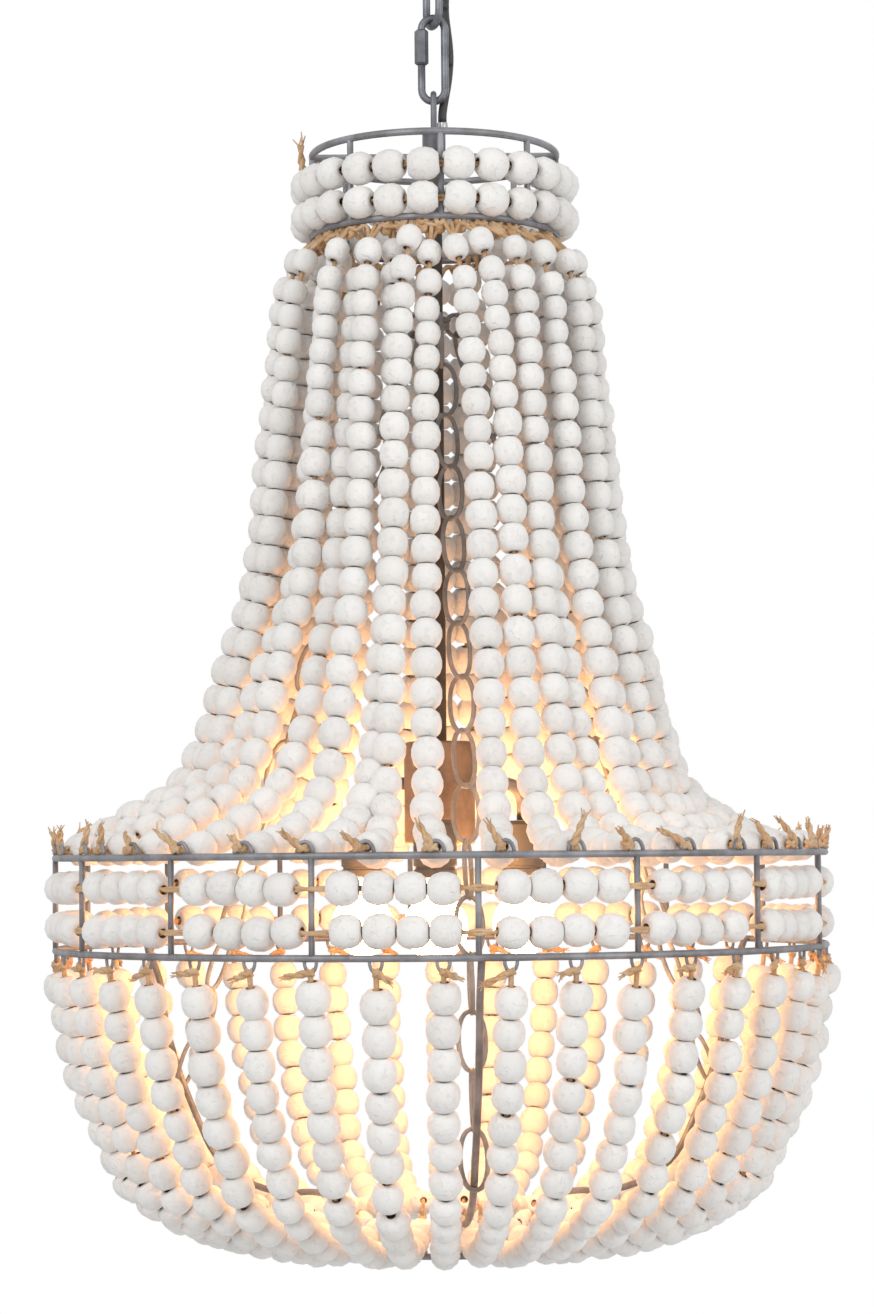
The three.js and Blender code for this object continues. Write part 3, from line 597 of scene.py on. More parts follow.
# Sideways shifts of the front strands in degrees, at the crown, at the waist, where the flare begins and at
# the band
front_shifts = {
    33: (0, -2, -1, 2.4), 34: (0, 1, 0, -1), 35: (3.9, 3.2, 1, -1.6), 36: (0, 1, 2.4, -0.7), 37: (1.5, 3.2, 3.3, 0.9),
    38: (-1, 3.6, 3.4, 0.9), 39: (0, -3.5, -2.4, 0.3), 0: (-0.5, -2.6, -2.1, 0.7), 1: (0.4, 6, 5.4, 1),
    2: (2.5, 7.4, 5.7, 1.8), 3: (7, 8.8, 5.5, 1.6), 4: (-3, 5, 4, 1.3), 5: (3.6, 5.2, 4.7, 2.4), 6: (0.8, 3, 3, 1.5),
    7: (5, 3, 1.5, 0.4), 19: (0, 1.6, 1.6, 0),
}
# How far in the strands of the inner layer lie at the crown
inner_depths = {number: 18 * mm for number in range(4, strand_count, 2)} | {0: 7 * mm}
# Where the first bead of a strand starts, in mm past its tie, on the two strands where the photograph shows it
set_heads = {39: -5.5, 0: 4.5}

# %% From the shares to lines
def layer_share(out_share, until_share, first_share):
    return clamped((until_share - out_share) / (until_share - first_share))


def slack_share(number):
    """How slack an upper strand hangs. Those at the front and the right do, and the others are taut."""
    away = abs(number - slack_middle)
    nearer = min(away, strand_count - away)
    return clamped(1 - (nearer - slack_reach) / tautening_reach)


def upper_line(number, azimuth, chance):
    """The line of bead centres from the crown to the band, and the shift of its foot."""
    shifts = front_shifts.get(number, (chance.uniform(-1.5, 1.5), chance.uniform(-0.6, 0.6), 0, 0))
    slack_line = shade_shares[:-len(slack_shares)] + slack_shares
    slack = slack_share(number)
    points = []
    for taut_place, slack_place in zip(shade_shares, slack_line):
        out_share, height_share = (mix(a, b, slack) for a, b in zip(taut_place, slack_place))
        layer = layer_share(out_share, layered_until_share, shade_shares[0][0])
        radius = mix(crown_radius, band_radius, out_share) - inner_depths.get(number, 0) * layer
        shift = float(np.interp(out_share, shift_shares, shifts))
        points.append(at(radius, band_level + height_share * shade_height, azimuth + shift))
    return Line(smooth_points(points)), shifts[-1]


def lower_line(number, azimuth, chance):
    """The line of bead centres from the band to the bottom ring. Its middle strays a little, its foot doesn't."""
    shift = chance.uniform(-0.8, 0.8)
    points = []
    for out_share, depth_share in basket_shares:
        rise = layer_rise * layer_share(out_share, raised_until_share, 0.0) if number % 2 else 0
        radius = mix(bottom_radius, band_radius, out_share)
        free = layer_share(out_share, 0.9, 0.3)
        points.append(at(radius, band_bottom - depth_share * basket_depth + rise, azimuth + shift * free))
    return Line(smooth_points(points)), 0

# %% Beads along a line
def string_beads(bm, line, sizes_along, head, first_gap, chance):
    """Puts beads along a line from a head start on: one bead, a gap with bare string, and then beads that
    touch, but for one or two loose ones. The last bead sits where the line ends."""
    half_first, half_last = (sizes_along[1][i] * bead_length_share / 2 for i in (0, -1))
    loose_gap = chance.uniform(0.8, 2.4) * mm
    room = line.length - head + half_first + half_last - first_gap - 2 * loose_gap
    sizes = []
    while sum(sizes) * bead_length_share < room - half_last:
        share = sum(sizes) * bead_length_share / line.length
        sizes.append(float(np.interp(share, *sizes_along)) * chance.uniform(0.965, 1.035))
    fit = room / (sum(sizes) * bead_length_share)
    sizes = [size * fit for size in sizes]
    loose = chance.sample(range(2, len(sizes)), 2)
    place = head - half_first
    for i, size in enumerate(sizes):
        place += first_gap if i == 1 else loose_gap if i in loose else 0
        centre, along = line.at(place + size * bead_length_share / 2)
        sway = Vector((chance.gauss(0, 0.4), chance.gauss(0, 0.4), 0)) * mm
        add_bead(bm, centre + sway, along, size, chance)
        place += size * bead_length_share

# %% Upper and lower strands
def string_strands(level, first_azimuth, line_of, sizes_along, seed, heads, first_gaps):
    """Strings all strands of a level, five to a piece. Returns each one's number, azimuth, line, head and shift."""
    strands = []
    for group in range(strand_count // strands_per_group):
        bm = bead_bmesh()
        for number in range(group * strands_per_group, (group + 1) * strands_per_group):
            chance = random.Random(seed + number)
            azimuth = first_azimuth + number * strand_step
            line, shift = line_of(number, azimuth, chance)
            head = heads.get(number, chance.uniform(-5, 2)) * mm
            first_gap = chance.uniform(*first_gaps) * mm if first_gaps else 0
            string_beads(bm, line, sizes_along, head, first_gap, chance)
            strands.append((number, azimuth, line, head, shift))
        bead_piece(f"{level}_beads_{group + 1}", bm, f"{level}_strands_{group + 1}")
    return strands


upper_strands = string_strands("upper", upper_azimuth, upper_line, upper_sizes, 100, set_heads, (2.5, 7))
lower_strands = string_strands("lower", lower_azimuth, lower_line, lower_sizes, 300, {}, None)
print("strands", len(upper_strands), len(lower_strands))

# %% [markdown]
# Four rows of beads lie level, two round the crown and two round the band. Their string passes outside each
# post, so a bay's beads keep clear of the posts. On the band the string pulls them into a straight line.

# %% Rows round the crown and the band
crown_posts, crown_post_azimuth = 8, 3
band_posts, band_post_azimuth = 16, 5
crown_row_radius = 82.6 * mm
band_row_radius = 238 * mm
crown_row_levels = [crown_upper - 21 * mm, crown_upper - 42.5 * mm]
band_row_levels = [band_level - 18.5 * mm, band_level - 43.5 * mm]


def add_row(bm, posts, first_post, per_bay, diameter, radius, height, straight, slack, gaps, sway, chance):
    bay = 360 / posts
    for post in range(posts):
        middle = first_post + (post + 0.5) * bay
        sizes = [diameter * chance.uniform(0.96, 1.02) for _ in range(per_bay)]
        loose = [chance.choice(gaps) for _ in sizes]
        place = -(sum(sizes) * bead_length_share + sum(loose[1:])) / 2 + chance.uniform(-1, 1) * slack
        for size, gap in zip(sizes, [0] + loose[1:]):
            place += gap
            offset = place + size * bead_length_share / 2
            azimuth = middle if straight else middle + math.degrees(offset / radius)
            centre, along = at(radius, height, azimuth), sideways(azimuth)
            if straight:
                centre += along * offset
            sag = Vector((0, 0, chance.uniform(-1, 1) * sway))
            add_bead(bm, centre + sag, along, size, chance)
            place += size * bead_length_share


for i, level in enumerate(["upper", "lower"]):
    bm = bead_bmesh()
    add_row(bm, crown_posts, crown_post_azimuth, 3, 21 * mm, crown_row_radius, crown_row_levels[i], False,
            0.4 * mm, [0.5 * mm, 1.1 * mm, 1.6 * mm], 0.6 * mm, random.Random(500 + i))
    bead_piece(f"crown_row_{level}", bm, f"crown_beads_{level}")
    bm = bead_bmesh()
    add_row(bm, band_posts, band_post_azimuth, 4, 20.3 * mm, band_row_radius, band_row_levels[i], True,
            3 * mm, [0, 0, 1.2 * mm], 0.8 * mm, random.Random(510 + i))
    bead_piece(f"band_row_{level}", bm, f"band_beads_{level}")

# %% [markdown]
# The frame itself is bent and welded wire. Its rings are spun circles, its posts and crossbar straight
# sweeps, and the pieces run a little into each other where they are welded.

# %% Crown, band and bottom ring
shading_angle = 35
crown_post_wire = 4 * mm
band_post_wire = 3.6 * mm
crossbar_wire = 5 * mm
stem_bore = 5.1 * mm


def add_posts(bm, count, first, radius, bottom, top, wire):
    for i in range(count):
        azimuth = first + i * 360 / count
        add_wire(bm, [at(radius, bottom, azimuth), at(radius, top, azimuth)], wire / 2)


bm = bmesh.new()
add_ring(bm, crown_radius, crown_upper, crown_wire)
add_ring(bm, crown_radius, crown_lower, crown_wire)
add_posts(bm, crown_posts, crown_post_azimuth, crown_radius, crown_lower, crown_upper, crown_post_wire)
add_wire(bm, [at(crown_radius, crown_upper, -90), at(crown_radius, crown_upper, 90)], crossbar_wire / 2)
add_lathe(bm, chamfered(stem_bore, 8.5 * mm, -3 * mm, 3 * mm, 0.6 * mm, 1 * mm),
          matrix=Matrix.Translation((0, 0, crown_upper)))
hard_piece("crown_wires", bm, "crown_frame", sharp=shading_angle)

bm = bmesh.new()
add_ring(bm, band_radius, band_level, band_wire, 160)
add_ring(bm, band_radius, band_bottom, band_wire, 160)
add_posts(bm, band_posts, band_post_azimuth, band_radius, band_bottom, band_level, band_post_wire)
hard_piece("band_wires", bm, "band_frame")

bm = bmesh.new()
add_ring(bm, bottom_radius, bottom_level, bottom_wire)
hard_piece("bottom_wire", bm, "bottom_ring")

# %% [markdown]
# Three ribs carry the bottom ring. Each starts against the band's lower ring and ends on the bottom ring. The
# chains that hold the ribs come from a hub on the stem. Their places are read from the frame: the chain's own
# middle and its longest direction. The links are ovals. They hang a little out of square with each other, and
# the front chain bows sideways, so that each link is seen from its open side.

# %% Ribs and chains
rib_wire = 4.4 * mm
rib_azimuths = [5.5, 121, 236.5]
chain_counts = [16, 15, 15]
chain_pitch = 35 * mm
chain_wire = 3 * mm
chain_width = 16 * mm
chain_bows = [4.5 * mm, 0, 0]
rib_shares = [
    (0.958, 0.02), (0.895, 0.14), (0.862, 0.292), (0.8, 0.449), (0.711, 0.605), (0.6, 0.757), (0.443, 0.838),
    (0.264, 0.87), (0.11, 0.862), (0.02, 0.88),
]


def rib_points(azimuth):
    head = band_radius - (band_wire + rib_wire) / 2 - 0.3 * mm
    foot = bottom_level + bottom_wire / 2 + 0.3 * mm
    points = [at(head, band_bottom, azimuth)]
    for out_share, depth_share in rib_shares:
        radius = mix(bottom_radius, band_radius, out_share)
        points.append(at(radius, band_bottom - depth_share * basket_depth, azimuth))
    points.append(at(bottom_radius, foot, azimuth))
    return smooth_points(points, 4)


def link_points(width, length, steps=12):
    """The centre line of a long link in the XZ plane, centred on the origin."""
    rise = (length - width) / 2
    return [Vector((end * math.cos(t) * width / 2, 0, end * (rise + math.sin(t) * width / 2)))
            for end in (1, -1) for t in angles(math.pi, steps)]


def oval_points(width, length, steps=22, squareness=2.25):
    """The centre line of an oval link in the XZ plane. Squareness 2 gives an ellipse, and more gives fuller ends."""
    full = [[math.copysign(abs(part) ** (2 / squareness), part) for part in (math.cos(t), math.sin(t))]
            for t in angles(math.tau, steps)[:-1]]
    return [Vector((x * width / 2, 0, z * length / 2)) for x, z in full]


def chain_axis(node):
    """The two ends of a chain's own solid, from the upper to the lower one, along its longest direction."""
    verts = np.array([v.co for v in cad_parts[node].data.vertices])
    middle = verts.mean(0)
    along = np.linalg.svd(verts - middle, full_matrices=False)[2][0]
    along = along * (-1 if along[2] > 0 else 1)
    reach = (verts - middle) @ along
    return Vector(middle + along * reach.min()), Vector(middle + along * reach.max())


def link_twist(i, count):
    """The turn of a link in degrees. The first ones and the last ones are held square, and the others are loose."""
    loose = clamped(min(i / 2, (11 - i) / 3))
    return 30 * loose if (count - 1 - i) % 2 == 0 else 90 + 60 * loose


for number, (azimuth, count, bow) in enumerate(zip(rib_azimuths, chain_counts, chain_bows), 1):
    bm = bmesh.new()
    add_wire(bm, rib_points(azimuth), rib_wire / 2, 10)
    hard_piece(f"rib_wire_{number}", bm, f"rib_{number}")
    top, foot = chain_axis(f"chain_{number}")
    along = (foot - top).normalized()
    outer = (foot - top).length - (count - 1) * chain_pitch
    across = sideways(azimuth)
    turn = Matrix((across, along.cross(across), along)).transposed().to_4x4()
    bm = bmesh.new()
    for i in range(count):
        centre = top + along * (outer / 2 + i * chain_pitch) + across * bow * math.sin(math.pi * (i + 0.5) / count)
        place = Matrix.Translation(centre) @ turn @ turned(link_twist(i, count))
        points = [place @ p for p in oval_points(chain_width, outer - chain_wire)]
        add_wire(bm, points, chain_wire / 2, closed=True)
    hard_piece(f"chain_links_{number}", bm, f"chain_{number}", chain_painted_light_coat)

# %% [markdown]
# The stem is a plain tube that ends in a canister, from which three bent arms carry the lamps. The holders
# are dark moulded plastic with a rim, and the bulbs point down. The bulbs are the only light that the
# chandelier makes: their glass glows, and the beads round them take a warm tone from it.

# %% Stem, canister and hub
stem_low, stem_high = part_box("stem_tube")
can_low, can_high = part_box("canister")
stem_radius, can_radius = 4.75 * mm, 22.5 * mm
bm = bmesh.new()
add_lathe(bm, rounded(stem_radius, stem_low.z, stem_high.z, 0.4 * mm), 24)
hard_piece("stem", bm, "stem_tube", stem_painted_shade_coat)
bm = bmesh.new()
add_lathe(bm, rounded(can_radius, can_low.z, can_high.z, 3 * mm), 40)
hard_piece("canister_shell", bm, "canister", canister_painted_glow_coat)

chain_hub_level = crown_upper - 108 * mm
hub_eye_width, hub_eye_wire = 14 * mm, 2.8 * mm
hub_radius = 9 * mm
bm = bmesh.new()
add_lathe(bm, chamfered(stem_bore, hub_radius, -3.5 * mm, 3.5 * mm, 0.8 * mm, 0.8 * mm), 28,
          Matrix.Translation((0, 0, chain_hub_level)))
for azimuth, count in zip(rib_azimuths, chain_counts):
    centre = at(hub_radius + hub_eye_width / 2 - 1 * mm, chain_hub_level, azimuth)
    across = sideways(azimuth) if count % 2 == 0 else at(0, 1)
    eye = circle_points(centre, at(1, 0, azimuth), across, hub_eye_width / 2, 24)
    add_wire(bm, eye, hub_eye_wire / 2, closed=True)
hard_piece("hub_with_eyes", bm, "chain_hub", sharp=shading_angle)

# %% Arms, holders and bulbs
lamp_azimuth, lamp_radius = -3, 60 * mm
arm_level = band_level + 46 * mm
arm_bend = 14 * mm
arm_end = arm_level - arm_bend - 10 * mm
seam = 0.3 * mm
holder_height, holder_radius, groove_radius = 36 * mm, 13.5 * mm, 12.4 * mm
socket_radius, socket_depth = 7.5 * mm, 25 * mm
holder_top = arm_end - seam
holder_mouth = holder_top - holder_height
bulb_radius, bulb_length = 20 * mm, 50 * mm
neck_radius, neck_length = 7 * mm, 22 * mm
arm_radius = 4 * mm
for number in (1, 2, 3):
    azimuth = lamp_azimuth + (number - 1) * 120
    lamp = Matrix.Translation(at(lamp_radius, 0, azimuth))
    bend = [at(lamp_radius - arm_bend * (1 - math.sin(t)), arm_level - arm_bend * (1 - math.cos(t)), azimuth)
            for t in angles(math.pi / 2, 8)]
    bm = bmesh.new()
    add_wire(bm, [at(can_radius + seam, arm_level, azimuth), *bend, at(lamp_radius, arm_end, azimuth)], arm_radius, 16)
    hard_piece(f"arm_tube_{number}", bm, f"lamp_arm_{number}")

    bm = bmesh.new()
    rim = holder_mouth
    add_lathe(bm, [(0, rim + socket_depth), (socket_radius, rim + socket_depth), (socket_radius, rim),
                   (12.6 * mm, rim), (holder_radius, rim + 0.9 * mm), (holder_radius, rim + 5 * mm),
                   (groove_radius, rim + 5.6 * mm), (groove_radius, rim + 7 * mm), (holder_radius, rim + 7.6 * mm),
                   (holder_radius, holder_top - 2.5 * mm), (11 * mm, holder_top), (0, holder_top)], 32, lamp)
    hard_piece(f"holder_shell_{number}", bm, f"lamp_holder_{number}", holder_plastic,
               sharp=shading_angle)

    shoulder = holder_mouth - seam
    centre = shoulder - bulb_length + bulb_radius
    globe_end = math.acos(neck_radius / bulb_radius) * 0.6
    globe = [(bulb_radius * math.cos(t), centre + bulb_radius * math.sin(t))
             for t in (mix(-math.pi / 2, globe_end, i / 12) for i in range(1, 13))]
    bm = bmesh.new()
    neck_top = shoulder + neck_length
    add_lathe(bm, [(0, centre - bulb_radius), *globe, (neck_radius + 1 * mm, shoulder - 5 * mm),
                   (neck_radius, shoulder), (neck_radius, neck_top), (0, neck_top)], 32, lamp)
    finish_piece(f"bulb_glass_{number}", bm, glass, f"bulb_{number}", [f"bulb_{number}"])

# %% [markdown]
# The chandelier hangs from a loop under the canopy by one oval link and a quick link. The quick link is a
# bent rod with a gap in one leg, which a threaded sleeve closes.

# %% Canopy and loop
outer, corner, wall = 55 * mm, 14 * mm, 1.5 * mm
canopy_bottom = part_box("canopy")[0].z
canopy_bore = 5.3 * mm


def corner_points(radius):
    return [(outer - corner + radius * math.sin(t), corner + canopy_bottom - radius * math.cos(t))
            for t in angles(math.pi / 2, 8)]


bm = bmesh.new()
add_lathe(bm, [(canopy_bore, canopy_bottom), *corner_points(corner), (outer, 0), (outer - wall, 0),
               *reversed(corner_points(corner - wall)), (canopy_bore, canopy_bottom + wall),
               (canopy_bore, canopy_bottom)], 72)
hard_piece("canopy_shell", bm, "canopy", body="ceiling", sharp=shading_angle)

loop_azimuth, loop_radius, loop_wire = 25, 8.25 * mm, 5 * mm
loop_low, loop_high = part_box("canopy_loop")
loop_centre = at(0, loop_low.z + loop_wire / 2 + loop_radius)
loop = circle_points(loop_centre, at(1, 0, loop_azimuth - 90), at(0, 1), loop_radius, 32)
bm = bmesh.new()
add_wire(bm, loop, loop_wire / 2, 12, closed=True)
add_lathe(bm, rounded(9 * mm, canopy_bottom - 10 * mm, loop_high.z, 1 * mm))
hard_piece("loop_with_collar", bm, "canopy_loop", link_steel, "ceiling")

# %% Hanging link and quick link
link_low, link_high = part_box("hanging_link")
link_wire, link_width = 5 * mm, 19 * mm
link_place = Matrix.Translation((0, 0, (link_low.z + link_high.z) / 2)) @ turned(loop_azimuth + 90)
bm = bmesh.new()
points = [link_place @ p for p in link_points(link_width, link_high.z - link_low.z - link_wire)]
add_wire(bm, points, link_wire / 2, 12, closed=True)
hard_piece("oval_link", bm, "hanging_link", link_steel, "hanging_link")

quick_low, quick_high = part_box("quick_link")
sleeve_low, sleeve_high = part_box("link_sleeve")
quick_width = 15 * mm
quick_length = quick_high.z - quick_low.z - link_wire
quick_middle = at(0, (quick_low.z + quick_high.z) / 2)
mouth_top = quick_middle.z + (quick_length - quick_width) / 2 - 3 * mm
mouth_bottom = mouth_top - 7 * mm
leg = (sleeve_low.x + sleeve_high.x) / 2
bent = [quick_middle + Vector((math.copysign(1, leg) * p.x, 0, p.z))
        for p in link_points(quick_width, quick_length)]
bm = bmesh.new()
add_wire(bm, [Vector((leg, 0, mouth_top)), *bent, Vector((leg, 0, mouth_bottom))], link_wire / 2, 12)
hard_piece("quick_link_rod", bm, "quick_link", link_steel, "quick_link")
bm = bmesh.new()
add_lathe(bm, chamfered(2.8 * mm, 4.5 * mm, sleeve_low.z, sleeve_high.z, 1.2 * mm, 1.2 * mm), 6,
          Matrix.Translation((leg, 0, 0)))
hard_piece("hex_sleeve", bm, "link_sleeve", link_steel, "link_sleeve", sharp=20)

# %% Eye and cable inlet
eye_low, eye_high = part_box("stem_eye")
eye_wire, eye_width = 4 * mm, 10.4 * mm
arch_level = eye_high.z - eye_wire / 2 - eye_width / 2
collar_top = eye_low.z + 14.7 * mm
arch = [Vector((0, -math.cos(t) * eye_width / 2, arch_level + math.sin(t) * eye_width / 2))
        for t in angles(math.pi, 12)]
leg_drop = at(0, arch_level - collar_top + 4 * mm)
bm = bmesh.new()
add_wire(bm, [arch[0] - leg_drop, *arch, arch[-1] - leg_drop], eye_wire / 2, 12)
add_lathe(bm, rounded(7.5 * mm, eye_low.z, collar_top, 0.8 * mm), 36)
hard_piece("eye_with_collar", bm, "stem_eye", eye_coat, sharp=shading_angle)

inlet_low, inlet_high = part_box("cable_inlet")
inlet_middle = (inlet_low + inlet_high) / 2
bm = bmesh.new()
add_lathe(bm, rounded(3.5 * mm, inlet_low.z, inlet_high.z, 0.5 * mm), 24,
          Matrix.Translation((inlet_middle.x, inlet_middle.y, 0)))
hard_piece("inlet_ferrule", bm, "cable_inlet", bare_steel, sharp=shading_angle)

# %% [markdown]
# The supply cable hangs beside the links, with both its ends in the fitting. It has to bend when the links
# swing, and a piece can only bend across one joint, so it is cut into three stretches, one for each joint.

# %% Supply cable
cable_diameter = 5.6 * mm
cable_route = [
    (8, 17, 584.7), (8, 17, 579), (8.1, 16.4, 573), (8.3, 14.8, 566), (8.1, 12.8, 558), (7.8, 11, 550), (8, 9.4, 542),
    (9, 8.2, 533), (10, 7.8, 524), (10.5, 7.8, 515), (10, 7.7, 506), (8.9, 7.1, 497), (7.3, 5.9, 488), (6, 4.4, 480),
    (5.6, 3.5, 475.5), (5.6, 3.4, 471.6),
]
cable_line = Line(smooth_points([Vector((x, y, 0)) * mm + Vector((0, 0, band_level + z * mm))
                                 for x, y, z in cable_route]))
stretch = cable_line.length / 3
swing_bodies = ["ceiling", "hanging_link", "quick_link", "chandelier"]
for i in range(3):
    path = [cable_line.at(stretch * (i + k / 12))[0] for k in range(13)]
    bm = bmesh.new()
    add_wire(bm, path, cable_diameter / 2, 14)
    piece = finish_piece(f"cable_{i + 1}", bm, cable_sheath, None, ["supply_cable"])
    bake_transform(piece, swing_bodies[i], swing_bodies[i + 1], start=path[0], end=path[-1])
    length = sum((b - a).length for a, b in zip(path, path[1:]))
    print("cable stretch", i + 1, round(length, 4))

# %% [markdown]
# Jute ties everything: it hangs in loops under the crown's lower ring, runs through small wire eyelets on
# the band, and ends in knots whose tails are left long and frayed. A loop is a thick wavy string that dips
# to each strand's first bead, a knot two crossed loops, and a tail a twisted end that splits into fibres.

# %% Strings, knots and tails
twist_pitch = 2.2 * mm


def add_string(bm, points, radius):
    add_wire(bm, smooth_points(points, 3), radius, 6)


def add_knot(bm, centre, size, chance):
    """Two crossed loops of string, pulled tight."""
    for turn in (chance.uniform(20, 60), chance.uniform(-60, -20)):
        place = Matrix.Translation(centre) @ turned(turn, "Y") @ Matrix.Rotation(chance.uniform(0, math.pi), 4, "Z")
        loop = circle_points(Vector(), Vector((1, 0, 0)), Vector((0, 0.8, 0)), size, 9)
        add_wire(bm, [place @ p for p in loop], size * 0.55, 5, closed=True)


def add_tail(bm, start, direction, length, thickness, chance):
    """Two strings that leave a knot wound round each other, and split into fibres at their ends."""
    side = direction.orthogonal().normalized()
    bend = Vector([chance.gauss(0, spread) for spread in (1, 1, 0.6)]) * length * 0.12
    for half in (0, math.pi):
        points = []
        for i in range(7):
            share = i / 6
            wind = Matrix.Rotation(half + share * length / twist_pitch, 3, direction) @ side
            points.append(start + direction * length * share + bend * share**2 + wind * thickness * 0.55)
        add_wire(bm, points, thickness, 5, end_radius=thickness * 0.6)
        for _ in range(2):
            spread = Vector([chance.gauss(0, 1) for _ in range(3)]) * 0.45
            end = points[-1] + (direction + spread).normalized() * length * chance.uniform(0.15, 0.35)
            add_wire(bm, [points[-2], points[-1], end], thickness * 0.5, 4, end_radius=thickness * 0.2)

# %% Two wavy strings under the crown's lower ring, and one from it to each strand
crown_cord, bundle_cord = 1.4 * mm, 1.8 * mm
ring_underside = crown_lower - crown_wire / 2
under = ring_underside - crown_cord
# Degrees from a strand to the wave's dip beside it
half_wave = 3.2
bm = bmesh.new()
for layer in range(2):
    chance = random.Random(600 + layer)
    points = []
    for number, azimuth, line, head, _ in upper_strands:
        bead_top = line.at(head - small_bead * 0.42)[0]
        reach = crown_radius + chance.uniform(-2, 1.5) * mm - layer * 2.5 * mm
        points.append(at(reach, under - chance.uniform(0, 2.5) * mm - layer * 1.5 * mm, azimuth - half_wave))
        points.append(mix(at(reach, under, azimuth), bead_top, 0.95) if (number + layer) % 2 else
                      at(reach, under - chance.uniform(1, 4) * mm, azimuth))
        points.append(at(reach, under - chance.uniform(0, 2.5) * mm, azimuth + half_wave))
    add_wire(bm, smooth_points(points + points[:1], 2)[:-1], crown_cord, 6, closed=True)
for _, azimuth, line, head, _ in upper_strands:
    bead_top = line.at(head - small_bead * 0.3)[0]
    tie = at(crown_radius - 1 * mm, under, azimuth)
    middle = (bead_top + tie) / 2 + at(0.8 * mm, 0, azimuth)
    add_string(bm, [tie, middle, bead_top, line.at(head)[0]], string_radius)
print("crown strings", len(bm.faces), "faces")

# %% Loops over the ring between most strands, and the crown's two knots
chance = random.Random(640)
for _, azimuth, *_ in upper_strands:
    bundle = azimuth + strand_step / 2 + chance.uniform(-1, 1)
    for turn in range(3 if chance.random() < 0.75 else 0):
        half = chance.uniform(2.2, 3.4)
        drop = ring_underside - (1.5 + 2.2 * turn + chance.uniform(0, 1)) * mm
        reach = crown_radius + chance.uniform(-1.5, 1.5) * mm
        ends = [at(crown_radius - 4 * mm, crown_lower + 1 * mm, bundle + side * half * 0.9) for side in (-1, 1)]
        dips = [at(reach, drop, bundle + side * half * 0.5) for side in (-1, 1)]
        add_string(bm, [ends[0], *dips, ends[1]], bundle_cord)
for azimuth, level, rise in ((-87, crown_row_levels[0], 27 * mm), (138, crown_row_levels[1], 14 * mm)):
    knot = at(crown_radius + 3 * mm, level, azimuth)
    add_knot(bm, knot, 2.6 * mm, chance)
    add_tail(bm, knot, at(0.35, 1, azimuth).normalized(), rise, 2.3 * mm, chance)
finish_piece("crown_jute", bm, jute, "chandelier")

# %% Eyelets and jute on the band's upper ring
eyelet_height = 7 * mm


def add_eyelet(bm, azimuth, height, width, up, wire):
    """A small wire arch whose two feet are welded to the band's ring."""
    points = []
    for turn in angles(math.pi, 8):
        offset = math.degrees(math.cos(turn) * width / 2 / band_radius)
        rise = up * (band_wire * 0.3 + math.sin(turn) * eyelet_height)
        points.append(at(band_radius, height + rise, azimuth + offset))
    add_wire(bm, points, wire / 2, 7)


eyelets = bmesh.new()
ties = bmesh.new()
for number, azimuth, line, _, shift in upper_strands:
    chance = random.Random(700 + number)
    azimuth += shift
    add_eyelet(eyelets, azimuth, band_level, 10 * mm, 1, 2.4 * mm)
    knot = at(band_radius, band_level + 4.5 * mm, azimuth - math.degrees(2 * mm / band_radius))
    last = line.at(line.length + large_bead * 0.3)[0]
    add_string(ties, [line.at(line.length)[0], last, knot], string_radius * 1.2)
    for _ in range(2):
        place = knot + sideways(azimuth) * chance.uniform(-3.5, 1.5) * mm - at(chance.uniform(0, 3) * mm, 0, azimuth)
        add_knot(ties, place, chance.uniform(2.3, 3.1) * mm, chance)
    lean = at(chance.uniform(-0.5, 0.2), 0, azimuth) + sideways(azimuth) * chance.choice([-1.3, -0.9, -0.5, 0.3])
    add_tail(ties, knot, (at(0, 0.9) + lean).normalized(), chance.uniform(12, 18) * mm, 1.9 * mm, chance)
print("upper ties", len(ties.faces), "faces")

# %% Eyelets and jute on the band's lower ring and the bottom ring
for number, azimuth, line, head, _ in lower_strands:
    chance = random.Random(800 + number)
    add_eyelet(eyelets, azimuth, band_bottom, 7.5 * mm, -1, 2.1 * mm)
    knot = at(band_radius, band_bottom - 8 * mm, azimuth)
    first = line.at(head - large_bead * 0.4)[0]
    add_string(ties, [knot, first, line.at(head)[0]], string_radius * 1.1)
    add_knot(ties, knot, 2.3 * mm, chance)
    lean = sideways(azimuth) * chance.choice([-1, -1, 0.8])
    lean += at(chance.uniform(0, 0.4), chance.uniform(-0.6, -0.1), azimuth)
    add_tail(ties, knot, lean.normalized(), chance.uniform(10, 16) * mm, 1.8 * mm, chance)
    foot = line.at(line.length + small_bead * 0.4)[0]
    seat = at(bottom_radius, bottom_level + bottom_wire / 2 + 1 * mm, azimuth)
    add_string(ties, [line.at(line.length)[0], foot, seat], string_radius)
    if number % 4:
        add_knot(ties, seat + at(0, 1.5 * mm), 2.9 * mm, chance)
        lean = at(0, 1) - at(chance.uniform(0, 0.7), 0, azimuth)
        add_tail(ties, seat, lean.normalized(), chance.uniform(7, 12) * mm, 1.7 * mm, chance)
finish_piece("band_eyelets", eyelets, wire_coat, "chandelier")
finish_piece("band_jute", ties, jute, "chandelier")

# %% Jute in the strands and rows
bm = bmesh.new()
for _, _, line, head, _ in upper_strands + lower_strands:
    add_wire(bm, [line.at(mix(head, line.length, i / 12))[0] for i in range(13)], string_radius, 5)
# From one post to the next: 0 is outside the post, and 1 is where the beads' bores are
bay_shares = [0, 0.6, 1, 1, 1, 1, 1, 0.6]
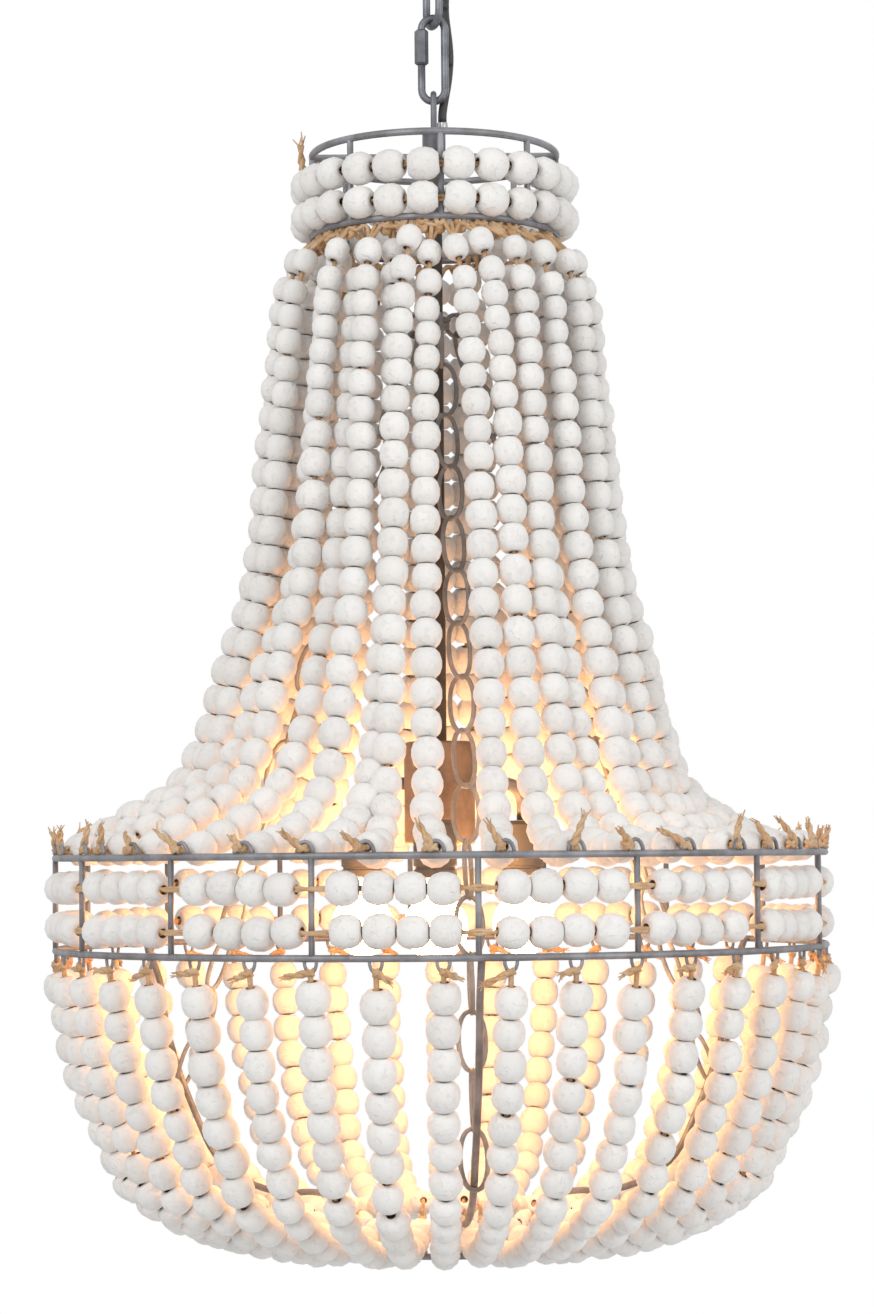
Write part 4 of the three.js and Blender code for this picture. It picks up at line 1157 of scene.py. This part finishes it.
# Two strings run in a row, wound round each other by this angle from one station to the next
winding = 1.9
crown_row = (crown_posts, crown_post_azimuth, crown_radius + crown_post_wire / 2, crown_row_radius)
band_row = (band_posts, band_post_azimuth, band_radius + band_post_wire / 2, band_row_radius)
for (posts, first, post_face, bores), levels in ((crown_row, crown_row_levels), (band_row, band_row_levels)):
    for level, turn in ((level, turn) for level in levels for turn in (0, math.pi)):
        points = []
        for i in range(posts * 8):
            wind = at(0, math.cos(turn + i * winding)) * string_radius * 0.8
            reach = mix(post_face + string_radius, bores, bay_shares[i % 8])
            reach += math.sin(turn + i * winding) * string_radius * 0.5
            points.append(at(reach, level, first + i * 360 / posts / 8) + wind)
        add_wire(bm, points, string_radius * 0.8, 6, closed=True)
finish_piece("bead_strings", bm, jute, "chandelier")

# %% [markdown]
# What stays as it came from the frame is small or plain: the ceiling bar, the nipple and the cable's gland.
# They only need their finishes.

# %% Carried-over nodes
kept = {"ceiling_bar": bare_steel, "ceiling_nipple": bare_steel, "cable_gland": holder_plastic}
for node, material in kept.items():
    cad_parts[node].data.materials.clear()
    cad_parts[node].data.materials.append(material)
print("kept", sorted(kept))

# %% [markdown]
# The studio is plain: a pale floor far below, a soft light from the front left, weaker ones from the right and
# from behind, and a world that is white where the camera or a reflection sees it and dimmer where it lights
# the beads.

# %% Stage and lights
floor_level = -2.4
ambient = 0.62
bm = bmesh.new()
bmesh.ops.create_grid(bm, x_segments=2, y_segments=2, size=6, matrix=Matrix.Translation((0, 0, floor_level)))
floor_finish = new_finish("pale_floor", Roughness=0.9)
cloud = floor_finish.noise(3, 2, 0.5)
floor_finish.set(Base_Color=floor_finish.colour_mix(cloud, (0.86, 0.86, 0.86, 1), (0.9, 0.9, 0.9, 1)))
floor_mesh = bpy.data.meshes.new("floor")
bm.to_mesh(floor_mesh)
bm.free()
floor_mesh.materials.append(floor_finish.owner)
floor = add_object("floor", floor_mesh)
print("floor at", floor_level)

world = bpy.data.worlds.new("studio")
bpy.context.scene.world = world
sky = Finish(world)
mask = sky.node("LightPath", output="Is Camera Ray")
for ray in ("Is Glossy Ray", "Is Transmission Ray"):
    mask = mask.sum_with("MAXIMUM", mask, sky.node("LightPath", output=ray))
sky.shader = sky.tree.nodes["Background"]
sky.set(Color=(1, 1, 1, 1), Strength=ambient + mask * (1 - ambient))
print("world", world.name)

# %% Lamps of the studio: place, size and power
studio_lamps = {
    "key": ((-1.4, -2.3, 0.9), 1.8, 35), "fill": ((2.0, -1.8, -0.2), 2.0, 22), "back": ((0.6, 2.4, 0.8), 1.8, 14),
}
for name, (place, size, power) in studio_lamps.items():
    data = bpy.data.lights.new(name, "AREA")
    data.shape, data.size, data.energy = "DISK", size, power
    light = add_object(name, data)
    light.location = place
    light.rotation_euler = (at(0, band_level + 0.1) - light.location).to_track_quat("-Z", "Y").to_euler()
print("lamps", sorted(studio_lamps))
